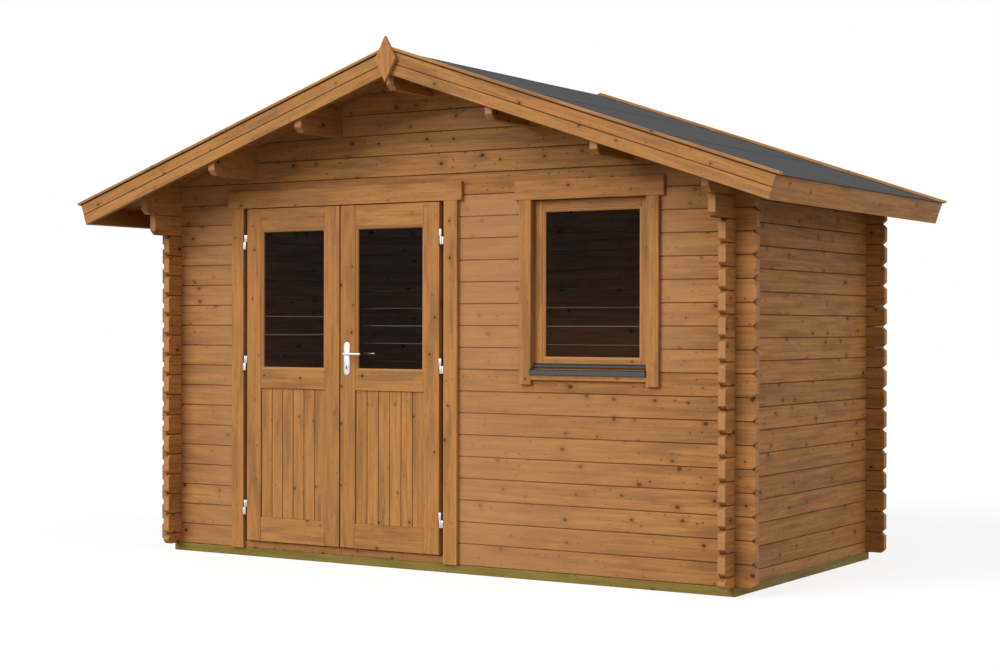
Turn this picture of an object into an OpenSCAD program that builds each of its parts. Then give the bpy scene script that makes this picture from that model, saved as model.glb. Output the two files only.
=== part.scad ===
// Garden cabin of interlocking logs with a gable front, a double door and one window.
// Millimetres. +X runs along the front from left to right, +Y from the front into the
// building, +Z up. The origin is on the ground under the middle of the walls.

/* [Logs] */
// Width over the outer faces of the side walls
body_w = 3570; // [3200:10:4800]
// Depth over the outer faces of the front and back walls
body_d = 1770; // [1500:10:3600]
// Thickness of a log
log_t = 40; // [28:1:45]
// Height of one course of logs
log_h = 115; // [100:1:140]
// Number of courses up to the top of the doorway
door_courses = 17; // [17:1:18]
// How far the logs run on past the crossing wall
log_over = 110; // [70:5:140]
// Depth of the groove between two courses
groove_d = 5; // [2:1:7]
// Chamfer on the corners of a log end
end_chamfer = 20; // [8:1:24]

/* [Base] */
// Height of the treated base beams
base_h = 45; // [35:1:70]
// Width of a base beam
base_w = 70; // [55:1:90]
// How far the base stands proud of the wall face
base_proud = 5; // [0:1:15]
// Thickness of the floor boards
floor_t = 18; // [16:1:24]
// Spacing of the floor bearers
bearer_gap = 600; // [400:10:700]

/* [Roof] */
// Roof pitch in degrees
pitch = 18.7; // [16:0.1:24]
// Height of a wall plate at its outer face
wall_plate_h = 168; // [140:2:200]
// Reach of the roof beyond the side wall's face, measured level
eaves_reach = 375; // [300:5:450]
// Reach of the roof in front of the wall face
front_reach = 390; // [330:5:500]
// Reach of the roof behind the ends of the side logs
back_reach = 25; // [20:5:200]
// How far the wall plate's end stands back from the bargeboard's face
plate_set = 90; // [60:5:150]
// How far the log under the plate ends behind the plate
plate_step = 75; // [40:5:100]
// Thickness of the roof boards
deck_t = 18; // [16:1:22]
// Thickness of the roofing felt
felt_t = 4; // [3:1:6]
// How far the felt runs past the eaves board
felt_drip = 8; // [4:1:15]
// Width of a purlin
purlin_w = 44; // [40:1:60]
// Height of a purlin at its middle line
purlin_h = 170; // [120:5:180]
// How much deeper the ridge purlin is
ridge_extra = 15; // [0:5:30]
// Spacing of the purlins across the roof
purlin_gap = 602; // [500:2:700]
// Chamfer on the lower corner of a purlin's front end
purlin_chamfer = 28; // [10:1:40]

/* [Trim] */
// Height of a bargeboard and of an eaves board
barge_h = 120; // [100:5:150]
// Thickness of a bargeboard and of an eaves board
barge_t = 20; // [16:1:28]
// Thickness of the strip that caps a bargeboard
cap_t = 14; // [10:1:25]
// Width of the cap strip
cap_w = 42; // [32:1:60]
// How far the cap strip stands proud of the bargeboard
cap_proud = 8; // [4:1:15]
// How far the cap strip runs past the bargeboard's end
cap_tail = 18; // [5:1:30]
// Height of the diamond finial
finial_h = 242; // [180:2:280]
// Width of the finial
finial_w = 132; // [90:2:160]
// Thickness of the finial
finial_t = 18; // [12:1:25]
// How far the finial's tip stands above the cap strips
finial_up = 50; // [30:5:80]
// Thickness of a casing board
casing_t = 22; // [16:1:28]
// Width of a door casing
door_casing_w = 86; // [60:2:110]
// Width of a window casing
window_casing_w = 70; // [50:2:90]
// Height of a header casing
header_h = 84; // [60:2:110]
// How far a header runs past the side casings
header_over = 27; // [0:1:45]

/* [Door] */
// Middle of the doorway, from the middle of the building
door_x = -580; // [-620:5:-480]
// Width of one door leaf
leaf_w = 652; // [540:2:680]
// Height of the threshold
threshold_h = 42; // [30:2:60]
// Height of the door frame's head
head_h = 27; // [20:1:40]
// Thickness of a leaf
leaf_t = 38; // [34:1:44]
// Width of a leaf's stiles
stile_w = 100; // [80:2:115]
// Height of the top rail
top_rail_h = 118; // [90:2:140]
// Height of the middle rail
mid_rail_h = 106; // [80:2:140]
// Height of the bottom rail
bottom_rail_h = 136; // [100:2:180]
// Height of the boarded panel in the lower half
panel_h = 728; // [600:2:760]
// Thickness of the boarded panel
panel_t = 16; // [12:1:20]
// Number of boards in the panel
panel_boards = 6; // [4:1:8]
// Gap between the two leaves
meeting_gap = 8; // [7:1:12]
// Gap between a leaf and the casing beside it
side_gap = 27; // [24:1:34]
// Clearance between a leaf and what it closes against
leaf_gap = 5; // [5:1:8]
// Thickness of a sheet of glass
glass_t = 4; // [3:1:6]

/* [Hinges] */
// Diameter of a hinge barrel
barrel_d = 12; // [10:1:14]
// Height of one half of a hinge
barrel_h = 41; // [30:1:50]
// Diameter of a hinge pin
pin_d = 6; // [5:0.5:7]
// Clearance around a hinge pin
pin_gap = 0.05; // [0.02:0.01:0.1]
// Distance of the middle of an outer hinge from the leaf's end
hinge_inset = 186; // [150:2:250]
// Height of the middle hinge above the leaf's foot
hinge_up = 1004; // [850:2:1050]

/* [Handle] */
// Height of the lever above the leaf's foot
lever_up = 1064; // [1000:2:1100]
// Distance of the lever from the leaf's free edge
backset = 46; // [40:1:54]
// Width of a handle plate
plate_w = 40; // [30:1:44]
// Height of a handle plate
plate_h = 180; // [140:5:220]
// Thickness of a handle plate
plate_t = 4; // [2:0.5:8]
// Reach of the lever from the plate
lever_reach = 44; // [35:1:55]
// Length of the lever
lever_len = 118; // [90:2:135]
// Diameter of the lever
lever_d = 15; // [12:1:18]
// Distance from the lever down to the keyhole
key_drop = 72; // [60:2:80]

/* [Window] */
// Middle of the window, from the middle of the building
window_x = 976; // [950:2:1020]
// Width of the window between its casings
window_w = 668; // [550:2:820]
// Height of the window from its sill to the header
window_h = 868; // [700:4:900]
// Height of the lining over the window
window_head = 42; // [30:2:60]
// Depth of the sash's face behind the wall face
sash_set = 20; // [8:1:28]
// Width of a sash member
sash_w = 46; // [36:1:60]
// Thickness of the sash
sash_t = 30; // [26:1:34]
// Thickness of the lining between the sash and the logs
lining_t = 22; // [16:1:30]
// How far the side casings run on below the sill
casing_tail = 83; // [40:1:120]
// Height of the sill's front edge
sill_h = 30; // [18:1:40]
// Reach of the sill in front of the wall face
sill_reach = 34; // [25:1:60]
// Height of the strip under the sill
strip_h = 28; // [20:1:50]

/* [Hidden] */

stain = "#b0713c";
stain_dark = "#8f5a2e";
treated = "#9a8a45";
raw_wood = "#c79a62";
slate = "#3a3f47";
steel = "#c9cbcc";
dark_metal = "#30343a";
glass_tint = [0.30, 0.24, 0.20, 0.5];
$fn = 48;
joint_gap = 0.3;
seat = 0.3;
over_cut = 1;

// Walls
half_w = body_w / 2;
half_d = body_d / 2;
wall_top = base_h + door_courses * log_h;
plate_z = wall_top - log_h / 2;
front_end = half_w + log_over;
side_end = half_d + log_over;

// Roof: ridge_z is the height of the underside of its boards at the ridge
run = cos(pitch);
rise = sin(pitch);
ridge_z = plate_z + wall_plate_h + half_w * tan(pitch);
slope_len = (half_w + eaves_reach) / run;
front_y = -half_d - front_reach;
back_y = side_end + back_reach;
deck_len = slope_len - barge_t;
felt_n = deck_t + seat;
cap_n = felt_n + felt_t + seat;
purlin_front = front_y + barge_t;
purlin_back = back_y - barge_t;
purlins_a_side = floor((half_w - log_t - purlin_w) / purlin_gap);
plate_front = front_y + plate_set;
step_front = plate_front + plate_step;
step_chamfer = end_chamfer + 6;

// Doorway
face_y = -half_d;
leaf_z = base_h + threshold_h + leaf_gap;
leaf_top = wall_top - head_h - leaf_gap;
leaf_front = face_y - casing_t;
leaf_back = leaf_front + leaf_t;
meeting = meeting_gap / 2;
door_half = meeting + leaf_w + side_gap;
jamb_w = 34;
stop_lap = 14;
stop_w = side_gap + stop_lap;
stop_front = leaf_back + leaf_gap;
frame_proud = 8;
frame_back = -half_d + log_t + frame_proud;
door_cut = door_half + jamb_w;
head_z = leaf_top + leaf_gap;
glass_low = leaf_z + bottom_rail_h + panel_h + mid_rail_h;
glass_high = leaf_top - top_rail_h;
leaf_open_w = leaf_w - 2 * stile_w;
rebate = 8;
glass_set = 16;
panel_set = 9;
axis_in = 2;
axis_x = meeting + leaf_w + side_gap / 2 - axis_in;
axis_y = leaf_front - axis_in;
hinge_heights = [leaf_z + hinge_inset, leaf_z + hinge_up, leaf_top - hinge_inset];
web_t = 7;
pin_len = barrel_h - 3;
lever_x = door_x + meeting + backset;
lever_z = leaf_z + lever_up;
plate_foot = 25;
neck_d = lever_d + 3;

// Window
window_top = wall_top - window_head;
window_bottom = window_top - window_h;
window_cut_w = window_w + 2 * lining_t;
window_cut_z = window_bottom - sill_h - strip_h / 2;
window_left = window_x - window_cut_w / 2;
window_right = window_x + window_cut_w / 2;
casing_low = window_bottom - casing_tail;
drip_h = 18;
drip_up = 10;

// A flat outline in X and Z, given its thickness from y0 to y1
module slab_y(y0, y1) {
    translate([0, y1, 0]) rotate([90, 0, 0]) linear_extrude(y1 - y0) children();
}

// A flat outline in Y and Z, given its thickness from x0 to x1
module slab_x(x0, x1) {
    translate([x0, 0, 0]) rotate([90, 0, 90]) linear_extrude(x1 - x0) children();
}

// A box from its lowest to its highest corner
module block(low, high) {
    translate(low) cube(high - low);
}

// Cross-section of a stack of logs, with a groove on both faces at each joint.
// The joints lie at first, first + log_h and so on, between low and high.
module log_stack(low, high, first) {
    joints = [for (z = [first : log_h : high - groove_d - over_cut]) if (z > low + groove_d) z];
    near = [for (z = joints, p = [[0, z - groove_d], [groove_d, z], [0, z + groove_d]]) p];
    far = [for (i = [len(joints) - 1 : -1 : 0],
                p = [[log_t, joints[i] + groove_d], [log_t - groove_d, joints[i]],
                     [log_t, joints[i] - groove_d]]) p];
    polygon(concat([[0, low]], near, [[0, high], [log_t, high]], far, [[log_t, low]]));
}

// Edge of a row of chamfered log ends, from the bottom log upwards.
// dir is 1 for ends that point to +X or +Y; joints as in log_stack.
function end_row(at, dir, low, high, first) = concat(end_points(at, dir, low, high, first),
                                                     [[at - dir * end_chamfer, high]]);
function end_points(at, dir, low, high, first) = [
    for (z = [first - log_h : log_h : high - over_cut])
        let (z0 = max(z, low), z1 = min(z + log_h, high))
        if (z1 > low + over_cut)
            for (p = [[at - dir * end_chamfer, z0], [at, z0 + end_chamfer], [at, z1 - end_chamfer]]) p
];

function reversed(list) = [for (i = [len(list) - 1 : -1 : 0]) list[i]];

// Notches through which the side logs cross a front or back wall, at one side
module crossing_notches(x0) {
    for (k = [0 : door_courses])
        translate([x0, base_h + (k - 0.25) * log_h]) square([log_t, log_h / 2]);
}

// One straight stretch of a front or back wall. Its outer face is at y = face,
// dir is 1 for the back wall and -1 for the front.
module long_wall(face, dir, outline_y0) {
    intersection() {
        translate([0, face, 0]) mirror([0, dir > 0 ? 1 : 0, 0])
            slab_x(-front_end - over_cut, front_end + over_cut)
                log_stack(base_h, ridge_z, base_h);
        slab_y(outline_y0, outline_y0 + log_t) children();
    }
}

module front_stretch() {
    long_wall(-half_d, -1, -half_d) children();
}

module back_stretch() {
    long_wall(half_d, 1, half_d - log_t) children();
}

// Elevation of the end of a front or back wall, from inner_x out to the log ends
module wall_end(inner_x) {
    difference() {
        polygon(concat([[inner_x, base_h]], end_row(front_end, 1, base_h, wall_top, base_h + log_h),
                       [[inner_x, wall_top]]));
        crossing_notches(half_w - log_t);
    }
}

// Elevation of a gable above the doorway, under the roof boards
module gable_face() {
    inner = half_w - log_t;
    difference() {
        polygon([[-inner, wall_top], [inner, wall_top], [inner, under_z(inner)],
                 [0, under_z(0)], [-inner, under_z(inner)]]);
        for (x = purlin_xs) translate([x - purlin_w / 2, purlin_z(x)]) square([purlin_w, ridge_z]);
    }
}

purlin_xs = [for (i = [-purlins_a_side : purlins_a_side]) i * purlin_gap];

// Height of what carries the roof boards, and of a purlin's underside, at a distance x
function under_z(x) = ridge_z - abs(x) * tan(pitch) - seat;
function purlin_z(x) = under_z(x) - purlin_h - (x == 0 ? ridge_extra : 0);

// A point of the right roof slope: s along the boards from the ridge, n above their underside
function slope_point(s, n) = [s * run + n * rise, ridge_z - s * rise + n * run];

// A layer of the right roof slope, with a plumb cut at the ridge and a square cut at the end
module slope_layer(n0, n1, end) {
    polygon([slope_point(-n0 * tan(pitch), n0), slope_point(end, n0),
             slope_point(end, n1), slope_point(-n1 * tan(pitch), n1)]);
}

// A piece for each side: the right one as drawn and the left one mirrored
module both_sides() {
    children();
    mirror([1, 0, 0]) children();
}

module long_base_beams() {
    color(treated) for (s = [-1, 1])
        block([-half_w - base_proud, s > 0 ? half_d + base_proud - base_w : -half_d - base_proud, 0],
              [half_w + base_proud, s > 0 ? half_d + base_proud : -half_d - base_proud + base_w, base_h]);
}

module side_base_beams() {
    color(treated) both_sides()
        block([half_w + base_proud - base_w, -half_d - base_proud + base_w, 0],
              [half_w + base_proud, half_d + base_proud - base_w, base_h]);
}

module floor_bearers() {
    count = floor((half_w - 2 * base_w) / bearer_gap);
    color(treated) for (i = [-count : count])
        block([i * bearer_gap - base_w / 2, -half_d - base_proud + base_w, 0],
              [i * bearer_gap + base_w / 2, half_d + base_proud - base_w, base_h]);
}

module floor_boards() {
    color(raw_wood) difference() {
        block([-half_w + log_t, -half_d + log_t, base_h],
              [half_w - log_t, half_d - log_t, base_h + floor_t]);
        block([door_x - door_cut, -half_d, base_h - over_cut],
              [door_x + door_cut, frame_back, base_h + floor_t + over_cut]);
    }
}

module front_wall_left() {
    color(stain) front_stretch() mirror([1, 0]) wall_end(door_cut - door_x);
}

module front_wall_middle() {
    color(stain) front_stretch()
        translate([door_x + door_cut, base_h])
            square([window_left - door_x - door_cut, wall_top - base_h]);
}

module front_wall_right() {
    color(stain) front_stretch() wall_end(window_right);
}

module front_wall_below_window() {
    color(stain) front_stretch()
        translate([window_left, base_h]) square([window_cut_w, window_cut_z - base_h]);
}

module front_gable() {
    color(stain) front_stretch() gable_face();
}

module back_wall() {
    color(stain) back_stretch() {
        wall_end(0);
        mirror([1, 0]) wall_end(0);
    }
}

module back_gable() {
    color(stain) back_stretch() gable_face();
}

// Right side wall: a half log at the bottom, and a longer top log that steps out at the front
module side_wall() {
    first = base_h + log_h / 2;
    step_z = plate_z - log_h;
    intersection() {
        translate([half_w, 0, 0]) mirror([1, 0, 0])
            slab_y(-side_end - front_reach, side_end + over_cut) log_stack(base_h, plate_z, first);
        slab_x(half_w - log_t, half_w) difference() {
            polygon(concat(end_row(side_end, 1, base_h, plate_z, first),
                           [[step_front, plate_z], [step_front, step_z + step_chamfer],
                            [step_front + step_chamfer, step_z]],
                           reversed(end_row(-side_end, -1, base_h, step_z, first))));
            for (k = [0 : door_courses - 1], y = [-half_d, half_d - log_t])
                translate([y, base_h + (k + 0.25) * log_h]) square([log_t, log_h / 2]);
        }
    }
}

module left_wall() {
    color(stain) mirror([1, 0, 0]) side_wall();
}

module right_wall() {
    color(stain) side_wall();
}

// The plates lie on the side walls, pass over the front and back walls and follow the roof
module wall_plates() {
    inner = half_w - log_t;
    color(stain) both_sides() intersection() {
        slab_y(plate_front, purlin_back)
            polygon([[inner, plate_z], [half_w, plate_z], [half_w, under_z(half_w)], [inner, under_z(inner)]]);
        slab_x(inner - over_cut, half_w + over_cut) difference() {
            polygon([[plate_front + purlin_chamfer, plate_z], [purlin_back, plate_z],
                     [purlin_back, ridge_z], [plate_front, ridge_z], [plate_front, plate_z + purlin_chamfer]]);
            for (y = [-half_d, half_d - log_t])
                translate([y, plate_z - over_cut]) square([log_t, log_h / 4 + over_cut]);
        }
    }
}

// A purlin at x, with its top cut to the roof and its front lower corner chamfered
module purlin(x) {
    low = purlin_z(x);
    a = x - purlin_w / 2;
    b = x + purlin_w / 2;
    top = x == 0 ? [[b, under_z(b)], [0, under_z(0)], [a, under_z(a)]] : [[b, under_z(b)], [a, under_z(a)]];
    intersection() {
        slab_y(purlin_front, purlin_back) polygon(concat([[a, low], [b, low]], top));
        slab_x(a - over_cut, b + over_cut)
            polygon([[purlin_front + purlin_chamfer, low], [purlin_back, low], [purlin_back, ridge_z],
                     [purlin_front, ridge_z], [purlin_front, low + purlin_chamfer]]);
    }
}

module ridge_purlin() {
    color(stain_dark) purlin(0);
}

module purlins() {
    color(stain_dark) for (x = purlin_xs) if (x != 0) purlin(x);
}

module roof_boards() {
    slab_y(purlin_front, purlin_back) slope_layer(0, deck_t, deck_len);
}

module left_roof_boards() {
    color(stain_dark) mirror([1, 0, 0]) roof_boards();
}

module right_roof_boards() {
    color(stain_dark) roof_boards();
}

// One sheet over both slopes, folded at the ridge
module roof_felt() {
    end = slope_len + felt_drip;
    low = slope_point(end, felt_n);
    high = slope_point(end, felt_n + felt_t);
    color(slate) slab_y(front_y, back_y)
        polygon([low, high, [0, ridge_z + (felt_n + felt_t) / run], [-high[0], high[1]],
                 [-low[0], low[1]], [0, ridge_z + felt_n / run]]);
}

module bargeboards() {
    for (y = [front_y, purlin_back])
        slab_y(y, y + barge_t) slope_layer(deck_t - barge_h, deck_t, slope_len);
}

module left_bargeboards() {
    color(stain) mirror([1, 0, 0]) bargeboards();
}

module right_bargeboards() {
    color(stain) bargeboards();
}

module verge_caps() {
    for (y = [front_y - cap_proud, back_y + cap_proud - cap_w])
        slab_y(y, y + cap_w)
            slope_layer(cap_n, cap_n + cap_t, slope_len + cap_tail);
}

module left_verge_caps() {
    color(stain) mirror([1, 0, 0]) verge_caps();
}

module right_verge_caps() {
    color(stain) verge_caps();
}

module finial() {
    mid_z = ridge_z + (cap_n + cap_t) / run + finial_up - finial_h / 2;
    finial_y = front_y - cap_proud - finial_t;
    color(stain) slab_y(finial_y, finial_y + finial_t)
        polygon([[0, mid_z - finial_h / 2], [finial_w / 2, mid_z], [0, mid_z + finial_h / 2],
                 [-finial_w / 2, mid_z]]);
}

module eaves_boards() {
    color(stain) both_sides() slab_y(purlin_front, purlin_back)
        polygon([slope_point(deck_len + seat, deck_t - barge_h), slope_point(slope_len, deck_t - barge_h),
                 slope_point(slope_len, deck_t), slope_point(deck_len + seat, deck_t)]);
}

// Door frame: jambs with a stop behind the leaves, drawn for the right side of the doorway
module door_jambs() {
    color(stain) translate([door_x, 0, 0]) both_sides()
        linear_extrude_up(base_h, wall_top)
            polygon([[door_half, face_y], [door_cut, face_y], [door_cut, frame_back],
                     [door_half - stop_w, frame_back], [door_half - stop_w, stop_front],
                     [door_half, stop_front]]);
}

// A plan outline in X and Y, given its height from z0 to z1
module linear_extrude_up(z0, z1) {
    translate([0, 0, z0]) linear_extrude(z1 - z0) children();
}

module door_head() {
    inner = door_half - stop_w;
    color(stain) translate([door_x, 0, 0]) {
        difference() {
            block([-door_half, face_y, head_z], [door_half, frame_back, wall_top]);
            for (s = [-1, 1])
                block([s > 0 ? inner : -door_half - over_cut, stop_front, leaf_top],
                      [s > 0 ? door_half + over_cut : -inner, frame_back + over_cut, wall_top + over_cut]);
        }
        block([-inner, stop_front, leaf_top - stop_lap], [inner, frame_back, head_z]);
    }
}

module threshold() {
    half = door_half - stop_w;
    top = base_h + threshold_h;
    color(stain_dark) translate([door_x, 0, 0]) both_sides()
        difference() {
            block([joint_gap, face_y, base_h], [door_half, frame_back, top]);
            block([half, stop_front, base_h - over_cut], [door_half + over_cut, frame_back + over_cut, top + over_cut]);
        }
}

module side_casings() {
    color(stain) {
        translate([door_x, 0, 0]) both_sides()
            block([door_half, leaf_front, base_h], [door_half + door_casing_w, face_y, head_z]);
        translate([window_x, 0, 0]) both_sides()
            block([window_w / 2, leaf_front, casing_low], [window_w / 2 + window_casing_w, face_y, window_top]);
    }
}

// Header over the door, header over the window and the strip under the window's sill
module cross_casings() {
    door_wide = door_half + door_casing_w + header_over;
    window_wide = window_w / 2 + window_casing_w + header_over;
    strip_top = window_bottom - sill_h;
    color(stain) {
        block([door_x - door_wide, leaf_front, head_z],
              [door_x + door_wide, face_y, head_z + header_h]);
        block([window_x - window_wide, leaf_front, window_top],
              [window_x + window_wide, face_y, window_top + header_h]);
        block([window_x - window_w / 2, leaf_front, strip_top - strip_h],
              [window_x + window_w / 2, face_y, strip_top]);
    }
}

// One door leaf, drawn to the right of x = 0 with its free edge there
module leaf_frame() {
    panel_top = leaf_z + bottom_rail_h + panel_h;
    difference() {
        block([0, leaf_front, leaf_z], [leaf_w, leaf_back, leaf_top]);
        block([stile_w, leaf_front - over_cut, glass_low], [leaf_w - stile_w, leaf_back + over_cut, glass_high]);
        block([stile_w, leaf_front - over_cut, leaf_z + bottom_rail_h],
              [leaf_w - stile_w, leaf_back + over_cut, panel_top]);
        block([stile_w - rebate, leaf_front + glass_set, glass_low - rebate],
              [leaf_w - stile_w + rebate, leaf_front + glass_set + glass_t, glass_high + rebate]);
        block([stile_w - rebate, leaf_front + panel_set, leaf_z + bottom_rail_h - rebate],
              [leaf_w - stile_w + rebate, leaf_front + panel_set + panel_t, panel_top + rebate]);
    }
}

// Boards of a leaf's lower panel, with a groove between each two of them
module leaf_panel() {
    board = leaf_open_w / panel_boards;
    groove = 3;
    front = leaf_front + panel_set;
    difference() {
        block([stile_w - rebate, front, leaf_z + bottom_rail_h - rebate],
              [leaf_w - stile_w + rebate, front + panel_t, leaf_z + bottom_rail_h + panel_h + rebate]);
        for (i = [1 : panel_boards - 1])
            translate([stile_w + i * board, front, leaf_z]) rotate([0, 0, 45])
                translate([-groove, -groove, 0]) cube([2 * groove, 2 * groove, leaf_top - leaf_z]);
    }
}

module leaf_glass() {
    block([stile_w - rebate, leaf_front + glass_set, glass_low - rebate],
          [leaf_w - stile_w + rebate, leaf_front + glass_set + glass_t, glass_high + rebate]);
}

// Puts a right-hand leaf's piece in its place, or mirrors it into the left one
module as_right_leaf() {
    translate([door_x + meeting, 0, 0]) children();
}

module as_left_leaf() {
    translate([door_x - meeting, 0, 0]) mirror([1, 0, 0]) children();
}

module left_door_frame() {
    color(stain) as_left_leaf() leaf_frame();
}

module left_door_panel() {
    color(stain) as_left_leaf() leaf_panel();
}

module left_door_glass() {
    color(glass_tint) as_left_leaf() leaf_glass();
}

// The active leaf, bored for the lever's spindle
module right_door_frame() {
    color(stain) difference() {
        as_right_leaf() leaf_frame();
        translate([lever_x, leaf_back + over_cut, lever_z]) rotate([90, 0, 0])
            cylinder(d = neck_d + 6, h = leaf_t + 2 * over_cut);
    }
}

module right_door_panel() {
    color(stain) as_right_leaf() leaf_panel();
}

module right_door_glass() {
    color(glass_tint) as_right_leaf() leaf_glass();
}

// Fixed lower halves of the hinges: a barrel, its pin, and a plate on the casing's edge
module hinge_barrels() {
    color(steel) translate([door_x, 0, 0]) both_sides() for (z = hinge_heights) {
        translate([axis_x, axis_y, z - barrel_h]) cylinder(d = barrel_d, h = barrel_h);
        translate([axis_x, axis_y, z - over_cut]) cylinder(d = pin_d, h = pin_len + over_cut);
        block([axis_x, axis_y, z - barrel_h], [door_half, axis_y + web_t, z]);
    }
}

// Upper halves of the hinges, which turn on the pins with the leaf
module knuckles() {
    for (z = hinge_heights) difference() {
        union() {
            translate([axis_x, axis_y, z + joint_gap]) cylinder(d = barrel_d, h = barrel_h);
            block([meeting + leaf_w, axis_y, z + joint_gap], [axis_x, axis_y + web_t, z + joint_gap + barrel_h]);
        }
        translate([axis_x, axis_y, z - over_cut]) cylinder(r = pin_d / 2 + pin_gap, h = barrel_h);
    }
}

module left_hinge_knuckles() {
    color(steel) translate([door_x, 0, 0]) mirror([1, 0, 0]) knuckles();
}

module right_hinge_knuckles() {
    color(steel) translate([door_x, 0, 0]) knuckles();
}

// Outline of a handle plate in X and Z around the lever's axis, with its bore and keyhole
module plate_outline() {
    half = plate_w / 2;
    low = -key_drop - plate_foot;
    key_d = 9;
    key_w = 4;
    key_h = 12;
    difference() {
        union() {
            translate([-half, low]) square([plate_w, plate_h - plate_w]);
            translate([0, low]) circle(r = half);
            translate([0, low + plate_h - plate_w]) circle(r = half);
        }
        circle(d = neck_d + 2 * pin_gap);
        translate([0, -key_drop]) circle(d = key_d);
        translate([-key_w / 2, -key_drop - key_h]) square([key_w, key_h]);
    }
}

module handle_plates() {
    color(steel) translate([lever_x, 0, lever_z]) for (y = [leaf_front - plate_t, leaf_back])
        slab_y(y, y + plate_t) plate_outline();
}

// A round rod along Y, and a lever grip with round ends along X
module rod_y(y0, y1, d) {
    translate([0, y1, 0]) rotate([90, 0, 0]) cylinder(d = d, h = y1 - y0);
}

module grip() {
    sphere(d = lever_d);
    rotate([0, 90, 0]) cylinder(d = lever_d, h = lever_len);
    translate([lever_len, 0, 0]) sphere(d = lever_d);
}

// Levers inside and outside on one spindle, turning together
module door_lever() {
    neck_in = 2;
    outer = leaf_front - plate_t - lever_reach;
    inner = leaf_back + plate_t + lever_reach;
    color(steel) translate([lever_x, 0, lever_z]) {
        rod_y(outer, inner, lever_d - 4);
        rod_y(outer, leaf_front + neck_in, neck_d);
        rod_y(leaf_back - neck_in, inner, neck_d);
        for (y = [outer, inner]) translate([0, y, 0]) grip();
    }
}

// A rectangular ring in X and Z around the middle of the window
module ring(w0, z0, z1, side, low, high) {
    difference() {
        translate([window_x - w0 / 2, z0]) square([w0, z1 - z0]);
        translate([window_x - w0 / 2 + side, z0 + low]) square([w0 - 2 * side, z1 - z0 - low - high]);
    }
}

module window_frame() {
    color(stain) slab_y(face_y, frame_back)
        ring(window_cut_w, window_cut_z, wall_top, lining_t, window_bottom - window_cut_z, wall_top - window_top);
}

module window_sash() {
    front = face_y + sash_set;
    color(stain) difference() {
        slab_y(front, front + sash_t) ring(window_w, window_bottom, window_top, sash_w, sash_w, sash_w);
        slab_y(front + sash_t / 2 - glass_t / 2, front + sash_t / 2 + glass_t / 2)
            translate([window_x - window_w / 2 + sash_w - rebate, window_bottom + sash_w - rebate])
                square([window_w - 2 * (sash_w - rebate), window_h - 2 * (sash_w - rebate)]);
    }
}

module window_glass() {
    front = face_y + sash_set + sash_t / 2 - glass_t / 2;
    inset = sash_w - rebate;
    color(glass_tint)
        block([window_x - window_w / 2 + inset, front, window_bottom + inset],
              [window_x + window_w / 2 - inset, front + glass_t, window_top - inset]);
}

// Metal sill under the sash, and a drip bar across the sash's bottom rail
module window_sill() {
    sash_face = face_y + sash_set;
    bar_low = window_bottom + drip_up;
    bar_reach = 18;
    end_gap = 3;
    color(dark_metal) {
        block([window_x - window_w / 2, face_y - sill_reach, window_bottom - sill_h],
              [window_x + window_w / 2, face_y, window_bottom]);
        block([window_x - window_w / 2 + end_gap, sash_face - bar_reach, bar_low],
              [window_x + window_w / 2 - end_gap, sash_face, bar_low + drip_h]);
    }
}

long_base_beams();
side_base_beams();
floor_bearers();
floor_boards();  // floor
front_wall_left();
front_wall_middle();
front_wall_right();
front_wall_below_window();
front_gable();
back_wall();
back_gable();
left_wall();
right_wall();
wall_plates();
ridge_purlin();
purlins();
left_roof_boards();
right_roof_boards();
roof_felt();
left_bargeboards();
right_bargeboards();
left_verge_caps();
right_verge_caps();
finial();
eaves_boards();
door_jambs();
door_head();
threshold();
side_casings();
cross_casings();
left_door_frame();
left_door_panel();
left_door_glass();
right_door_frame();
right_door_panel();
right_door_glass();
hinge_barrels();
left_hinge_knuckles();
right_hinge_knuckles();
handle_plates();
door_lever();
window_frame();
window_sash();
window_glass();
window_sill();
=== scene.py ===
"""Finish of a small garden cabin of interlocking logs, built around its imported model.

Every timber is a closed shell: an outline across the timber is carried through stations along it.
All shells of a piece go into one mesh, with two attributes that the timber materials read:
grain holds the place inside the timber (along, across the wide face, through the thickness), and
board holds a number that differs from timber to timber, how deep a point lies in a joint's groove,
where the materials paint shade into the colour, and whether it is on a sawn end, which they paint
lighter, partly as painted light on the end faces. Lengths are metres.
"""

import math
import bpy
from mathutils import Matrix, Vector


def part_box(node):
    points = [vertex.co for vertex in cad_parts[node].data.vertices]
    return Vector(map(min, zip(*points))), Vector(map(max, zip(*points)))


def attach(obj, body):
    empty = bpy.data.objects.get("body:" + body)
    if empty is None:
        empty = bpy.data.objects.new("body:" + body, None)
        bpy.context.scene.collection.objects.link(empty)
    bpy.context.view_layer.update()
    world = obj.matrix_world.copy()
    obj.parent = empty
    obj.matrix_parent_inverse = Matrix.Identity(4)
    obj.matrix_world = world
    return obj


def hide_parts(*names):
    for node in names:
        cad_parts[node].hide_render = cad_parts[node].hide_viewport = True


bl_info = {
    "name": "Log cabin finish",
    "version": (1, 0, 0),
    "blender": (4, 5, 0),
    "location": "View3D > Sidebar > Log Cabin",
    "description": "Builds the timbers, roofing, doors, window and metalwork of a garden log cabin",
    "category": "Object",
}

import bmesh
import bpy
import numpy as np
from bpy.props import FloatProperty, FloatVectorProperty, IntProperty, PointerProperty
from mathutils import Matrix, Vector

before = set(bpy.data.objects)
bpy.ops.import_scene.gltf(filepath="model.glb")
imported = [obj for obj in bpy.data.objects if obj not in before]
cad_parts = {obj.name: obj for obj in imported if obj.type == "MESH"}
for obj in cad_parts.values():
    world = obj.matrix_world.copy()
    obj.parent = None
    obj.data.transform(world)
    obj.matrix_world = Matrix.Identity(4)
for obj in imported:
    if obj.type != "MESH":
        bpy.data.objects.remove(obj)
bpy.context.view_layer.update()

SLACK = 0.0004
WELD = 0.00002
MM = 0.001
X, Y, Z = np.eye(3)


# Places read from the frame

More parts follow.
